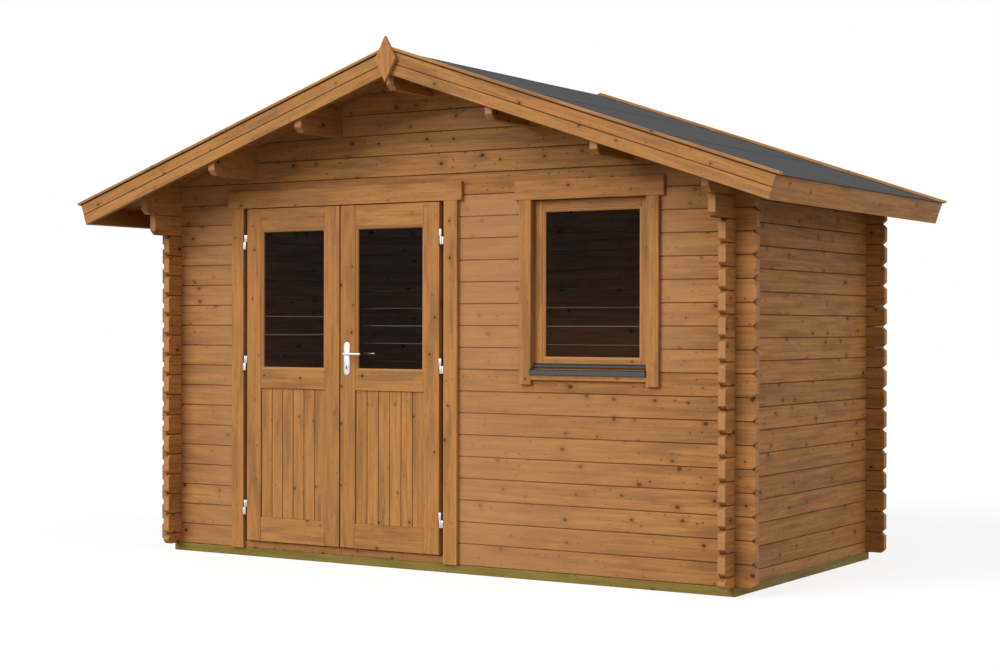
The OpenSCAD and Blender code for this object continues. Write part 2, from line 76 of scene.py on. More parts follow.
def corners(node):
    """The lowest and highest corner of a CAD node, as arrays."""
    low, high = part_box(node)
    return np.array(low), np.array(high)


def union_corners(*nodes):
    """The lowest and highest corner of several CAD nodes together."""
    boxes = [corners(node) for node in nodes]
    return np.min([b[0] for b in boxes], 0), np.max([b[1] for b in boxes], 0)


BASE_LOW, BASE_HIGH = corners("long_base_beams")
BACK_LOW, BACK_HIGH = corners("back_wall")
SIDE_LOW, SIDE_HIGH = corners("right_wall")
GABLE_LOW, GABLE_HIGH = corners("front_gable")
PLATE_LOW, PLATE_HIGH = corners("wall_plates")
DECK_LOW, DECK_HIGH = corners("right_roof_boards")
BARGE_LOW, BARGE_HIGH = corners("right_bargeboards")
FELT_LOW, FELT_HIGH = corners("roof_felt")

HALF_W = SIDE_HIGH[0]
LOG_T = SIDE_HIGH[0] - SIDE_LOW[0]
HALF_D = BACK_HIGH[1]
BASE_TOP = BASE_HIGH[2]
WALL_TOP = BACK_HIGH[2]
PLATE_Z = PLATE_LOW[2]
LOG_END_X = BACK_HIGH[0]
LOG_END_Y = SIDE_HIGH[1]
INNER_W = HALF_W - LOG_T
PITCH = math.radians(18.7)
RUN = math.cos(PITCH)
RISE = math.sin(PITCH)
FALL = math.tan(PITCH)
SEAT = 0.0003
RIDGE_Z = PLATE_HIGH[2] + INNER_W * FALL + SEAT
SLOPE = np.array([RUN, 0, -RISE])
UP_SLOPE = np.array([RISE, 0, RUN])
RIDGE = np.array([0, 0, RIDGE_Z])
DECK_LEN = (RIDGE_Z - DECK_LOW[2]) / RISE
DECK_T = (DECK_HIGH[0] - DECK_LEN * RUN) / RISE


def under_roof(x):
    """Height of what carries the roof boards, at a distance x from the middle."""
    return RIDGE_Z - abs(x) * FALL - SEAT


# Sizes and colours that a user would change

def length(name, value, text, low=0.0, high=1.0):
    """A size in metres."""
    return FloatProperty(name=name, description=text, default=value, min=low, max=high, unit="LENGTH",
                         precision=4)


def share(name, value, text, low=0.0, high=1.0):
    """A number without a unit."""
    return FloatProperty(name=name, description=text, default=value, min=low, max=high)


def tint(name, value, text):
    """A colour in linear light."""
    return FloatVectorProperty(name=name, description=text, default=value, size=3, subtype="COLOR",
                               min=0, max=1)


class CabinTimber(bpy.types.PropertyGroup):
    """Sizes of the logs and boards, and the colours of their stain."""
    course: length("Course height", 0.115, "Height of one log", 0.1, 0.14)
    groove: length("Groove", 0.0042, "Depth of the groove at a log joint", 0.001, 0.01)
    chamfer: length("End chamfer", 0.020, "Chamfer at the end of a log", 0.0, 0.024)
    step_chamfer: length("Step chamfer", 0.026, "Chamfer under a longer log's end", 0.0, 0.04)
    purlin_chamfer: length("Purlin chamfer", 0.028, "Chamfer under a purlin's end", 0.0, 0.05)
    edge: length("Edge", 0.0022, "Rounding of a planed edge", 0.0, 0.006)
    ring: length("Ring spacing", 0.0045, "Growth rings across the grain", 0.001, 0.02)
    light: tint("Light stain", (0.480, 0.212, 0.058), "Stain on early wood")
    dark: tint("Dark stain", (0.205, 0.082, 0.019), "Stain on late wood and streaks")
    grey: tint("Weathered stain", (0.190, 0.094, 0.036), "Greyer clouds in the stain")
    knot: tint("Knots", (0.035, 0.014, 0.006), "Heart of a knot")
    treated: tint("Treated timber", (0.265, 0.195, 0.040), "Pressure-treated base beams")
    treated_dark: tint("Treated streaks", (0.135, 0.105, 0.024), "Darker streaks of the base beams")


class CabinRoof(bpy.types.PropertyGroup):
    """Sizes and colours of the roof."""
    deck_board: length("Roof board", 0.094, "Width of a roof board", 0.06, 0.15)
    strip: length("Felt strip", 0.76, "Shown width of a strip of felt", 0.3, 1.0)
    lap: length("Felt lap", 0.0016, "Step at the edge of a strip of felt", 0.0, 0.003)
    ripple: length("Felt ripple", 0.0012, "Height of the felt's unevenness", 0.0, 0.004)
    felt: tint("Felt", (0.026, 0.026, 0.027), "Mineral granules")
    felt_pale: tint("Felt, pale granules", (0.095, 0.094, 0.093), "Palest granules")


class CabinFittings(bpy.types.PropertyGroup):
    """Sizes and colours of doors, window and metalwork."""
    panel_boards: IntProperty(name="Panel boards", description="Boards in a leaf's panel", default=6,
                              min=4, max=8)
    bead: length("Glazing bead", 0.014, "Width of a glazing bead", 0.008, 0.02)
    steel: tint("Steel", (0.640, 0.645, 0.650), "Satin steel of handle and hinges")
    coated: tint("Coated metal", (0.028, 0.034, 0.043), "Coated sill and drip bar")
    glass: tint("Glass", (0.780, 0.720, 0.650), "Tint of the glass")


class CabinStage(bpy.types.PropertyGroup):
    """Camera, lamps and floor."""
    place: FloatVectorProperty(name="Camera place", description="Where the camera stands", size=3,
                               default=(5.6178, -9.1580, 1.3040), subtype="TRANSLATION", unit="LENGTH")
    yaw: FloatProperty(name="Camera yaw", description="Turn to the left of the long axis",
                       default=math.radians(32.02), unit="ROTATION")
    tilt: FloatProperty(name="Camera tilt", description="Rise of the line of sight",
                        default=math.radians(-0.26), unit="ROTATION")
    roll: FloatProperty(name="Camera roll", description="Turn about the line of sight",
                        default=math.radians(0.126), unit="ROTATION")
    lens: share("Lens", 67.40, "Focal length in millimetres on a 36 mm sensor", 20, 200)
    sky: share("Sky light", 0.36, "Even light from all round", 0, 3)
    key: share("Key light", 2.45, "Soft sunlight from the left", 0, 10)
    fill: share("Fill light", 0.95, "Soft light from the right", 0, 10)


# Shells: outlines carried through stations

def section(v0, v1, w0, w1, inner, outer, steps=2, grooved=""):
    """Outline of a timber with rounded corners, anticlockwise, and how deep each point is in a groove.

    Each corner is a quarter circle of radius inner (at w0) or outer (at w1) about a centre that far from
    both sides, in the given number of steps. Where a side is grooved, its last corner point is the deep one,
    which the timber material darkens as painted shade.
    """
    quarter = np.radians(np.arange(steps + 1) * 90 / steps)
    centres = np.array([[v1 - inner, w0 + inner], [v1 - outer, w1 - outer],
                        [v0 + outer, w1 - outer], [v0 + inner, w0 + inner]])
    turns = np.radians([-90, 0, 90, 180])[:, None] + quarter
    radii = np.array([inner, outer, outer, inner])[:, None]
    across = centres[:, :1] + radii * np.cos(turns)
    through = centres[:, 1:] + radii * np.sin(turns)
    deep = np.zeros_like(across)
    if "in" in grooved:
        deep[0, -1] = deep[3, 0] = 1
    if "out" in grooved:
        deep[1, 0] = deep[2, -1] = 1
    return np.stack([across.ravel(), through.ravel()], 1), deep.ravel()


def bevelled_ends(start, end, low, high, edge):
    """Stations of a board with bevelled ends: rows of place along, lowest and highest v, and inset."""
    return np.array([[start, low, high, edge], [start + 0.3 * edge, low, high, 0.3 * edge],
                     [start + edge, low, high, 0], [end - edge, low, high, 0],
                     [end - 0.3 * edge, low, high, 0.3 * edge], [end, low, high, edge]])


class Shells:
    """Closed shells of one piece, with the attributes that the materials read."""

    def __init__(self, name):
        self.name = name
        self.random = np.random.default_rng(sum(ord(letter) * (place + 7) for place, letter in enumerate(name)))
        self.points, self.faces, self.grain, self.board = [], [], [], []
        self.count = 0

    def add(self, points, faces, grain=None, board=None):
        """Adds a shell whose faces count its own points from 0."""
        self.points.append(points)
        self.faces.extend([[self.count + i for i in face] for face in faces])
        self.grain.append(points if grain is None else grain)
        self.board.append(np.zeros_like(points) if board is None else board)
        self.count += len(points)

    def timber(self, outline, stations, place, axes, tone=None, lean=(0, 0), middle=None):
        """A timber: its outline is carried along u and held between each station's limits.

        Point p of station s lies at u = along(s) - lean * v(p), v = v(p) held between the station's
        lowest and highest v, and w = w(p), both drawn in by the station's inset. Quads join each ring to
        the next, and a flat polygon closes each end. The lean, which may differ at the two ends, cuts
        them aslant.
        """
        points, deep = outline
        stations = np.asarray(stations, float)
        along, low, high, inset = stations.T[:, :, None]
        v = np.clip(points[None, :, 0], low + inset, high - inset)
        deep = np.where(abs(v - points[:, 0]) > MM, 0, deep)
        w0, w1 = points[:, 1].min(), points[:, 1].max()
        w = np.clip(points[None, :, 1], w0 + inset, w1 - inset)
        half = len(stations) // 2
        slant = np.where(np.arange(len(stations)) < half, lean[0], lean[1])[:, None]
        u = along - slant * v
        local = np.stack([u, v, w], -1)
        rings = place + local @ np.array(axes)
        v_mid = (points[:, 0].min() + points[:, 0].max()) / 2 if middle is None else middle
        wide = local - [0, v_mid, (w0 + w1) / 2]
        if w1 - w0 > np.ptp(points[:, 0]):
            wide = wide[..., [0, 2, 1]]
        number = self.random.integers(0, 30) + (self.random.uniform(0.02, 0.98) if tone is None else tone)
        sawn = np.zeros(v.shape)
        sawn[[0, -1]] = 1
        board = np.stack([np.full(v.shape, number), deep, sawn], -1)
        self.add(rings.reshape(-1, 3), tube_faces(*v.shape, np.linalg.det(np.array(axes)) < 0),
                 wide.reshape(-1, 3), board.reshape(-1, 3))

    def plank(self, low, high, along, edge=None, groove=(0, 0), tone=None):
        """A board between two corners whose grain runs along the x, y or z axis (0, 1, 2).

        The other two axes follow in cyclic order, so its outline lies in y-z, z-x or x-y.
        groove gives the depth of the joint grooves at the low and high side of the last axis; the grooves'
        deep corners get painted shade from the timber material.
        """
        low, high = np.minimum(low, high), np.maximum(low, high)
        order = [along, (along + 1) % 3, (along + 2) % 3]
        edge = CABIN().timber.edge if edge is None else edge
        (u0, v0, w0), (u1, v1, w1) = low[order], high[order]
        grooved = ("in " if groove[0] else "") + ("out" if groove[1] else "")
        outline = section(v0, v1, w0, w1, groove[0] or edge, groove[1] or edge, 1 if grooved else 2, grooved)
        self.timber(outline, bevelled_ends(u0, u1, v0, v1, edge), np.zeros(3), np.eye(3)[order], tone)

    def build(self, material, slot, body, *nodes, smooth=None):
        """Makes the mesh, welds what coincides, gives it its finish and joins it to its body."""
        mesh = bpy.data.meshes.new(self.name)
        mesh.from_pydata(np.concatenate(self.points).tolist(), [], self.faces)
        for label, values in (("grain", self.grain), ("board", self.board)):
            layer = mesh.attributes.new(label, "FLOAT_VECTOR", "POINT")
            layer.data.foreach_set("vector", np.concatenate(values).astype(np.float32).ravel())
        work = bmesh.new()
        work.from_mesh(mesh)
        bmesh.ops.remove_doubles(work, verts=work.verts, dist=WELD)
        bmesh.ops.dissolve_degenerate(work, edges=work.edges, dist=WELD / 4)
        work.to_mesh(mesh)
        work.free()
        if smooth is not None:
            mesh.shade_smooth()
            mesh.set_sharp_from_angle(angle=math.radians(smooth))
        mesh.materials.append(material)
        piece = bpy.data.objects.new(self.name, mesh)
        bpy.context.scene.collection.objects.link(piece)
        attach(piece, body)
        if nodes:
            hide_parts(*nodes)
        return piece


def tube_faces(rings, around, flip=False, closed=True):
    """Quads that join point p and p + 1 of one ring to the same two of the next, and the two end polygons."""
    index = np.arange(rings * around).reshape(rings, around)
    here, there = index[:-1], index[1:]
    quads = np.stack([here, np.roll(here, -1, 1), np.roll(there, -1, 1), there], -1).reshape(-1, 4)
    faces = quads.tolist()
    if closed:
        faces += [index[0][::-1].tolist(), index[-1].tolist()]
    return [face[::-1] for face in faces] if flip else faces


def turned(shells, profile, centre, axis, around=24):
    """A turned shape: profile rows of radius and height, spun about an axis through centre.

    Point (s, t) = centre + axis * height(s) + radius(s) * (side * cos t + other * sin t).
    """
    profile = np.asarray(profile, float)
    side = np.roll(axis, 1)
    other = np.cross(axis, side)
    angle = np.arange(around) * 2 * math.pi / around
    ring = np.cos(angle)[:, None] * side + np.sin(angle)[:, None] * other
    points = centre + profile[:, 1, None, None] * axis + profile[:, 0, None, None] * ring
    shells.add(points.reshape(-1, 3), tube_faces(len(profile), around))


def swept(shells, path, radii, flat, around=20):
    """A tube along a path in the x-y plane: an ellipse across the path, flattened upright.

    Point (s, t) = path(s) + radius(s) * (side(s) * cos t + z * flat * sin t), where side is level and
    square to the path's direction.
    """
    ahead = np.gradient(path, axis=0)
    ahead /= np.linalg.norm(ahead, axis=1)[:, None]
    side = np.cross(ahead, Z)
    angle = np.arange(around) * 2 * math.pi / around
    ring = (np.cos(angle)[None, :, None] * side[:, None] + np.sin(angle)[None, :, None] * Z * flat)
    points = path[:, None] + radii[:, None, None] * ring
    shells.add(points.reshape(-1, 3), tube_faces(len(path), around, flip=True))


def plate(shells, outline, y_back, y_front, edge):
    """A flat plate upright in x-z: its outline, from y_back to y_front, with a bevelled front rim.

    The rim draws every outline point towards the middle line by the bevel's width.
    """
    middle = (outline.max(0) + outline.min(0)) / 2
    half = (outline.max(0) - outline.min(0)) / 2
    way = 1 if y_front > y_back else -1
    levels = ((y_back, 0), (y_front - way * edge, 0), (y_front - way * 0.3 * edge, 0.3), (y_front, 1))
    rings = []
    for y, inset in levels:
        drawn = middle + (outline - middle) * (1 - inset * edge / half)
        rings.append(np.stack([drawn[:, 0], np.full(len(drawn), y), drawn[:, 1]], 1))
    shells.add(np.concatenate(rings), tube_faces(len(levels), len(outline), flip=way > 0))


# Node trees

class Tree:
    """Adds nodes to a tree. An input given as a socket is joined, any other value is set."""

    def __init__(self, tree):
        self.tree = tree

    def node(self, kind, values=None, **settings):
        node = self.tree.nodes.new(kind)
        for key, value in settings.items():
            setattr(node, key, value)
        for key, value in (values or {}).items():
            self.feed(node.inputs[key], value)
        return node

    def feed(self, socket, value):
        if isinstance(value, bpy.types.NodeSocket):
            self.tree.links.new(value, socket)
        else:
            socket.default_value = value

    def math(self, operation, *values, clamp=False):
        return self.node("ShaderNodeMath", dict(enumerate(values)), operation=operation,
                         use_clamp=clamp).outputs[0]

    def vector(self, operation, *values):
        node = self.node("ShaderNodeVectorMath", dict(enumerate(values)), operation=operation)
        return node.outputs["Value" if operation in ("LENGTH", "DISTANCE", "DOT_PRODUCT") else "Vector"]

    def noise(self, vector, scale, detail=2.0, rough=0.5, stretch=None):
        if stretch is not None:
            vector = self.vector("MULTIPLY", vector, stretch)
        return self.node("ShaderNodeTexNoise", {"Vector": vector, "Scale": scale, "Detail": detail,
                                                "Roughness": rough}).outputs["Fac"]

    def remap(self, value, low, high, to_low=0.0, to_high=1.0, smooth=False):
        return self.node("ShaderNodeMapRange", {"Value": value, "From Min": low, "From Max": high,
                                                "To Min": to_low, "To Max": to_high}, clamp=True,
                         interpolation_type="SMOOTHSTEP" if smooth else "LINEAR").outputs["Result"]

    def mix(self, factor, a, b, blend="MIX"):
        node = self.tree.nodes.new("ShaderNodeMix")
        node.data_type = "RGBA"
        node.blend_type = blend
        self.feed(node.inputs[0], factor)
        self.feed(node.inputs[6], rgba(a))
        self.feed(node.inputs[7], rgba(b))
        return node.outputs[2]

    def group(self, tree, values):
        return self.node("ShaderNodeGroup", None, node_tree=tree) if not values else self.placed(tree, values)

    def placed(self, tree, values):
        node = self.node("ShaderNodeGroup", None, node_tree=tree)
        for key, value in values.items():
            self.feed(node.inputs[key], value)
        return node


def rgba(value):
    """A colour with its alpha, or the socket itself."""
    return value if isinstance(value, bpy.types.NodeSocket) else (*value[:3], 1.0)


def new_group(name, inputs, outputs):
    """A node group with named sockets; each name maps to its type: f for a float, v for a vector, c for a colour."""
    group = bpy.data.node_groups.new(name, "ShaderNodeTree")
    kinds = {"f": "NodeSocketFloat", "v": "NodeSocketVector", "c": "NodeSocketColor"}
    for way, names in (("INPUT", inputs), ("OUTPUT", outputs)):
        for label, kind in names.items():
            group.interface.new_socket(name=label, in_out=way, socket_type=kinds[kind])
    tree = Tree(group)
    return group, tree, tree.node("NodeGroupInput").outputs, tree.node("NodeGroupOutput").inputs


def knot_field():
    """Knots: a round mark of its own size in some of the cells of a stretched cell pattern."""
    group, t, given, out = new_group(
        "Knot Field", {"Grain": "v", "Pitch Along": "f", "Pitch Across": "f", "Size": "f", "Share": "f"},
        {"Knot": "f", "Halo": "f"})
    place = t.node("ShaderNodeSeparateXYZ", {"Vector": given["Grain"]}).outputs
    along = t.math("DIVIDE", place["X"], given["Pitch Along"])
    across = t.math("DIVIDE", t.math("ADD", place["Y"], place["Z"]), given["Pitch Across"])
    cell_place = t.node("ShaderNodeCombineXYZ", {"X": along, "Y": across}).outputs[0]
    cells = t.node("ShaderNodeTexVoronoi", {"Vector": cell_place, "Scale": 1.0}, voronoi_dimensions="2D")
    centre = t.node("ShaderNodeSeparateXYZ", {"Vector": cells.outputs["Position"]}).outputs
    chance = t.node("ShaderNodeSeparateColor", {"Color": cells.outputs["Color"]}).outputs
    u = t.math("MULTIPLY", t.math("SUBTRACT", along, centre["X"]), given["Pitch Along"])
    v = t.math("MULTIPLY", t.math("SUBTRACT", across, centre["Y"]), given["Pitch Across"])
    rough = t.math("MULTIPLY", t.math("SUBTRACT", t.noise(given["Grain"], 220.0, 2.0), 0.5), 0.5)
    reach = t.math("SQRT", t.math("ADD", t.math("MULTIPLY", t.math("MULTIPLY", u, u), 0.55),
                                  t.math("MULTIPLY", v, v)))
    size = t.math("MULTIPLY", given["Size"], t.math("MULTIPLY_ADD", chance["Red"], 0.9, 0.35))
    size = t.math("MULTIPLY", size, t.math("ADD", 1.0, rough))
    there = t.math("LESS_THAN", chance["Green"], given["Share"])
    heart = t.remap(reach, t.math("MULTIPLY", size, 0.55), size, 1.0, 0.0, smooth=True)
    halo = t.remap(reach, t.math("MULTIPLY", size, 0.7), t.math("MULTIPLY", size, 3.4), 1.0, 0.0, smooth=True)
    t.feed(out["Knot"], t.math("MULTIPLY", heart, there))
    t.feed(out["Halo"], t.math("MULTIPLY", halo, there))
    return group


def spruce_figure(knots):
    """Figure of spruce: growth rings about a pith beside the board, pushed aside by knots, and fibres.

    The distance from the pith, bent by slow noise along the board, is cut into years; each year
    darkens towards its end. Streaks, clouds and fibres are noise stretched along the grain.
    """
    group, t, given, out = new_group(
        "Spruce Figure", {"Grain": "v", "Board": "v", "Ring Spacing": "f", "Knot Size": "f", "Knot Share": "f"},
        {"Rings": "f", "Streaks": "f", "Clouds": "f", "Fibres": "f", "Knot": "f", "Halo": "f", "Tone": "f",
         "Heart": "f"})
    number = t.node("ShaderNodeSeparateXYZ", {"Vector": given["Board"]}).outputs["X"]
    shift = t.vector("SCALE", (3.17, 1.31, 0.73))
    shift_node = shift.node
    t.feed(shift_node.inputs["Scale"], number)
    place = t.vector("ADD", given["Grain"], shift)
    local = t.node("ShaderNodeSeparateXYZ", {"Vector": given["Grain"]}).outputs
    large = t.placed(knots, {"Grain": place, "Pitch Along": 0.24, "Pitch Across": 0.10,
                             "Size": given["Knot Size"], "Share": given["Knot Share"]}).outputs
    small = t.placed(knots, {"Grain": place, "Pitch Along": 0.070, "Pitch Across": 0.034,
                             "Size": t.math("MULTIPLY", given["Knot Size"], 0.34),
                             "Share": t.math("MULTIPLY", given["Knot Share"], 0.46)}).outputs
    slow = t.math("SUBTRACT", t.noise(place, 1.0, 2.0, 0.55, (0.9, 3.0, 3.0)), 0.5)
    quick = t.math("SUBTRACT", t.noise(place, 1.0, 3.0, 0.6, (3.5, 22.0, 22.0)), 0.5)
    pith_v = t.math("MULTIPLY_ADD", t.math("FRACT", t.math("MULTIPLY", number, 7.31)), 0.09, -0.045)
    pith_w = t.math("MULTIPLY_ADD", t.math("FRACT", t.math("MULTIPLY", number, 3.77)), 0.05, 0.022)
    v = t.math("SUBTRACT", t.math("MULTIPLY_ADD", slow, 0.075, local["Y"]), pith_v)
    w = t.math("SUBTRACT", local["Z"], pith_w)
    radius = t.math("SQRT", t.math("ADD", t.math("MULTIPLY", v, v), t.math("MULTIPLY", w, w)))
    radius = t.math("MULTIPLY_ADD", quick, 0.007, radius)
    radius = t.math("MULTIPLY_ADD", large["Halo"], 0.014, radius)
    year = t.math("FRACT", t.math("DIVIDE", radius, given["Ring Spacing"]))
    t.feed(out["Rings"], t.math("MULTIPLY", t.math("POWER", year, 2.2), t.remap(year, 0.93, 1.0, 1.0, 0.0)))
    t.feed(out["Streaks"], t.noise(place, 1.0, 4.0, 0.62, (2.6, 62.0, 62.0)))
    t.feed(out["Clouds"], t.noise(place, 1.0, 3.0, 0.6, (2.4, 17.0, 17.0)))
    t.feed(out["Fibres"], t.noise(place, 1.0, 2.0, 0.6, (14.0, 620.0, 620.0)))
    t.feed(out["Knot"], t.math("MAXIMUM", large["Knot"], small["Knot"]))
    t.feed(out["Halo"], t.math("MAXIMUM", large["Halo"], t.math("MULTIPLY", small["Halo"], 0.6)))
    t.feed(out["Tone"], t.math("FRACT", number))
    bent = t.math("MULTIPLY_ADD", quick, 0.010, t.math("MULTIPLY_ADD", slow, 0.016, local["Y"]))
    line = t.remap(t.math("ABSOLUTE", bent), 0.0004, 0.0022, 1.0, 0.0)
    broken = t.remap(t.noise(place, 1.0, 2.0, 0.7, (26.0, 8.0, 8.0)), 0.50, 0.60)
    t.feed(out["Heart"], t.math("MULTIPLY", line, broken))
    return group


def stained_timber(figure):
    """Stain over the figure: darker late wood and streaks, grey clouds and dark knots, with painted shade in the
    joints' grooves and lighter sawn ends, partly painted light.
    """
    group, t, given, out = new_group(
        "Stained Timber",
        {"Grain": "v", "Board": "v", "Light": "c", "Dark": "c", "Grey": "c", "Knot Colour": "c",
         "Sawn": "c", "Ring Spacing": "f", "Knot Size": "f", "Knot Share": "f", "Contrast": "f", "Greying": "f",
         "Spread": "f"},
        {"Color": "c", "Roughness": "f", "Height": "f"})
    f = t.placed(figure, {name: given[name] for name in
                          ("Grain", "Board", "Ring Spacing", "Knot Size", "Knot Share")}).outputs
    board = t.node("ShaderNodeSeparateXYZ", {"Vector": given["Board"]}).outputs
    streak = t.remap(f["Streaks"], 0.38, 0.64)
    depth = t.math("MULTIPLY_ADD", f["Rings"], 0.42, t.math("MULTIPLY", streak, 0.66))
    depth = t.math("MULTIPLY", depth, given["Contrast"])
    tone = t.math("MULTIPLY", t.math("SUBTRACT", 0.5, f["Tone"]), given["Spread"])
    depth = t.math("ADD", depth, tone, clamp=True)
    colour = t.mix(depth, given["Light"], given["Dark"])
    cloud = t.math("MULTIPLY", t.remap(f["Clouds"], 0.44, 0.66, smooth=True), given["Greying"])
    colour = t.mix(cloud, colour, given["Grey"])
    colour = t.mix(t.math("MULTIPLY", f["Halo"], 0.42), colour, given["Dark"])
    colour = t.mix(t.math("MULTIPLY", f["Heart"], 0.55), colour, given["Knot Colour"])
    colour = t.mix(t.math("MULTIPLY", f["Knot"], 0.90), colour, given["Knot Colour"])
    fine = t.remap(f["Fibres"], 0.3, 0.7, 0.90, 1.08)
    colour = t.mix(1.0, colour, t.node("ShaderNodeCombineColor", {0: fine, 1: fine, 2: fine}).outputs[0],
                   "MULTIPLY")
    # Painted shade: the deep corners of the joints' grooves are mixed towards the near-black knot colour.
    painted_groove_shade = t.math("MULTIPLY", t.math("POWER", board["Y"], 1.8), 0.92)
    colour = t.mix(painted_groove_shade, colour, given["Knot Colour"])
    # The sawn ends are mixed towards a lighter colour: partly the end grain's own look, partly painted light on the
    # end faces.
    colour = t.mix(t.math("MULTIPLY", board["Z"], 0.55), colour, given["Sawn"])
    t.feed(out["Color"], colour)
    t.feed(out["Roughness"], t.math("SUBTRACT", t.math("MULTIPLY_ADD", streak, 0.14, 0.52),
                                    t.math("MULTIPLY", f["Knot"], 0.12), clamp=True))
    t.feed(out["Height"], t.math("SUBTRACT", t.math("MULTIPLY_ADD", f["Fibres"], 0.55,
                                                    t.math("MULTIPLY", f["Rings"], 0.55)),
                                 t.math("MULTIPLY", f["Knot"], 0.7)))
    return group


def granules():
    """Mineral granules: cells of a millimetre or two, each of its own grey, with slow clouds over them."""
    group, t, given, out = new_group("Granules", {"Place": "v", "Dark": "c", "Pale": "c"},
                                     {"Color": "c", "Height": "f"})
    cells = t.node("ShaderNodeTexVoronoi", {"Vector": given["Place"], "Scale": 520.0})
    grey = t.node("ShaderNodeSeparateColor", {"Color": cells.outputs["Color"]}).outputs["Red"]
    cloud = t.noise(given["Place"], 2.4, 4.0, 0.65)
    streak = t.noise(given["Place"], 1.0, 3.0, 0.6, (3.0, 26.0, 3.0))
    pale = t.math("MULTIPLY", t.math("POWER", grey, 3.0), t.remap(cloud, 0.3, 0.7, 0.35, 0.9))
    pale = t.math("ADD", pale, t.math("MULTIPLY", t.remap(streak, 0.4, 0.75), 0.16), clamp=True)
    t.feed(out["Color"], t.mix(pale, given["Dark"], given["Pale"]))
    t.feed(out["Height"], t.math("MULTIPLY_ADD", grey, 0.7, t.math("MULTIPLY", cloud, 0.6)))
    return group


def brushed():
    """Satin metal: fine lines along one direction and faint hand marks."""
    group, t, given, out = new_group("Brushed Metal", {"Place": "v", "Colour": "c", "Rough": "f"},
                                     {"Color": "c", "Roughness": "f", "Height": "f"})
    lines = t.noise(given["Place"], 1.0, 2.0, 0.5, (2200.0, 2200.0, 60.0))
    marks = t.noise(given["Place"], 38.0, 3.0, 0.6)
    shade = t.remap(marks, 0.3, 0.7, 0.86, 1.04)
    t.feed(out["Color"], t.mix(1.0, given["Colour"],
                               t.node("ShaderNodeCombineColor", {0: shade, 1: shade, 2: shade}).outputs[0],
                               "MULTIPLY"))
    t.feed(out["Roughness"], t.math("ADD", given["Rough"], t.math("MULTIPLY", t.math("SUBTRACT", marks, 0.5),
                                                                  0.22), clamp=True))
    t.feed(out["Height"], lines)
    return group


GROUPS = {}
FINISHES = {}


def group_of(maker, *needs):
    """The node group that a maker builds, built once."""
    if maker.__name__ not in GROUPS:
        GROUPS[maker.__name__] = maker(*needs)
    return GROUPS[maker.__name__]


def new_finish(name):
    """An empty material with its tree, output and main shader."""
    material = bpy.data.materials.new(name)
    material.use_nodes = True
    material.node_tree.nodes.clear()
    t = Tree(material.node_tree)
    shader = t.node("ShaderNodeBsdfPrincipled")
    output = t.node("ShaderNodeOutputMaterial")
    t.feed(output.inputs["Surface"], shader.outputs[0])
    return material, t, shader, output


def timber_finish(name, light, dark, grey, knot, knot_size=0.011, knot_share=0.6, contrast=0.62,
                  greying=0.55, spread=0.26, ring=None, height=0.0006, gloss=0.16):
    """Timber with the stain and figure given by its colours and numbers."""
    if name in FINISHES:
        return FINISHES[name]
    material, t, shader, _ = new_finish(name)
    group = group_of(stained_timber, group_of(spruce_figure, group_of(knot_field)))
    values = {"Grain": t.node("ShaderNodeAttribute", attribute_name="grain").outputs["Vector"],
              "Board": t.node("ShaderNodeAttribute", attribute_name="board").outputs["Vector"],
              "Light": rgba(light), "Dark": rgba(dark), "Grey": rgba(grey), "Knot Colour": rgba(knot),
              # The sawn-end colour is the stain made lighter, partly painted light on the end faces.
              "Sawn": rgba(sawn_end_tint_with_painted_light(light)),
              "Ring Spacing": ring or CABIN().timber.ring, "Knot Size": knot_size, "Knot Share": knot_share,
              "Contrast": contrast, "Greying": greying, "Spread": spread}
    stain = t.placed(group, values).outputs
    t.feed(shader.inputs["Base Color"], stain["Color"])
    t.feed(shader.inputs["Roughness"], stain["Roughness"])
    bump = t.node("ShaderNodeBump", {"Height": stain["Height"], "Strength": 0.6, "Distance": height})
    t.feed(shader.inputs["Normal"], bump.outputs[0])
    shader.inputs["Specular IOR Level"].default_value = gloss
    FINISHES[name] = material
    return material


def shaded(colour, factor):
    """A colour made lighter or darker by a factor."""
    return tuple(min(1.0, part * factor) for part in colour)


def sawn_end_tint_with_painted_light(colour):
    """A stain's colour on a sawn end: lighter and less full, partly the end grain's own look and partly painted
    light that the end faces catch.
    """
    return tuple(0.92 * part + 0.045 for part in colour)


def log_finish():
    c = CABIN().timber
    return timber_finish("stained_logs", c.light, c.dark, c.grey, c.knot)


def trim_finish():
    c = CABIN().timber
    return timber_finish("stained_trim", shaded(c.light, 1.04), shaded(c.dark, 1.15), c.grey, c.knot,
                         knot_size=0.007, knot_share=0.5, contrast=0.50, greying=0.5, spread=0.22)


def roof_timber_finish():
    c = CABIN().timber
    return timber_finish("roof_timber", shaded(c.light, 0.92), shaded(c.dark, 0.95), c.grey, c.knot,
                         contrast=0.55, greying=0.5)


def treated_finish():
    c = CABIN().timber
    return timber_finish("treated_timber", c.treated, c.treated_dark, shaded(c.treated_dark, 0.9), c.knot,
                         knot_size=0.009, knot_share=0.5, contrast=0.7, greying=0.4, spread=0.2, height=0.0009,
                         gloss=0.12)


def floor_finish():
    return timber_finish("floor_timber", (0.56, 0.36, 0.18), (0.38, 0.20, 0.085), (0.36, 0.23, 0.12),
                         (0.12, 0.05, 0.02), contrast=0.5, greying=0.3, spread=0.2)


def felt_finish():
    if "felt" in FINISHES:
        return FINISHES["felt"]
    c = CABIN().roof
    material, t, shader, _ = new_finish("mineral_felt")
    place = t.node("ShaderNodeTexCoord").outputs["Object"]
    grains = t.placed(group_of(granules), {"Place": place, "Dark": rgba(c.felt), "Pale": rgba(c.felt_pale)})
    t.feed(shader.inputs["Base Color"], grains.outputs["Color"])
    bump = t.node("ShaderNodeBump", {"Height": grains.outputs["Height"], "Strength": 0.7, "Distance": 0.0008})
    t.feed(shader.inputs["Normal"], bump.outputs[0])
    shader.inputs["Roughness"].default_value = 0.88
    shader.inputs["Specular IOR Level"].default_value = 0.25
    FINISHES["felt"] = material
    return material


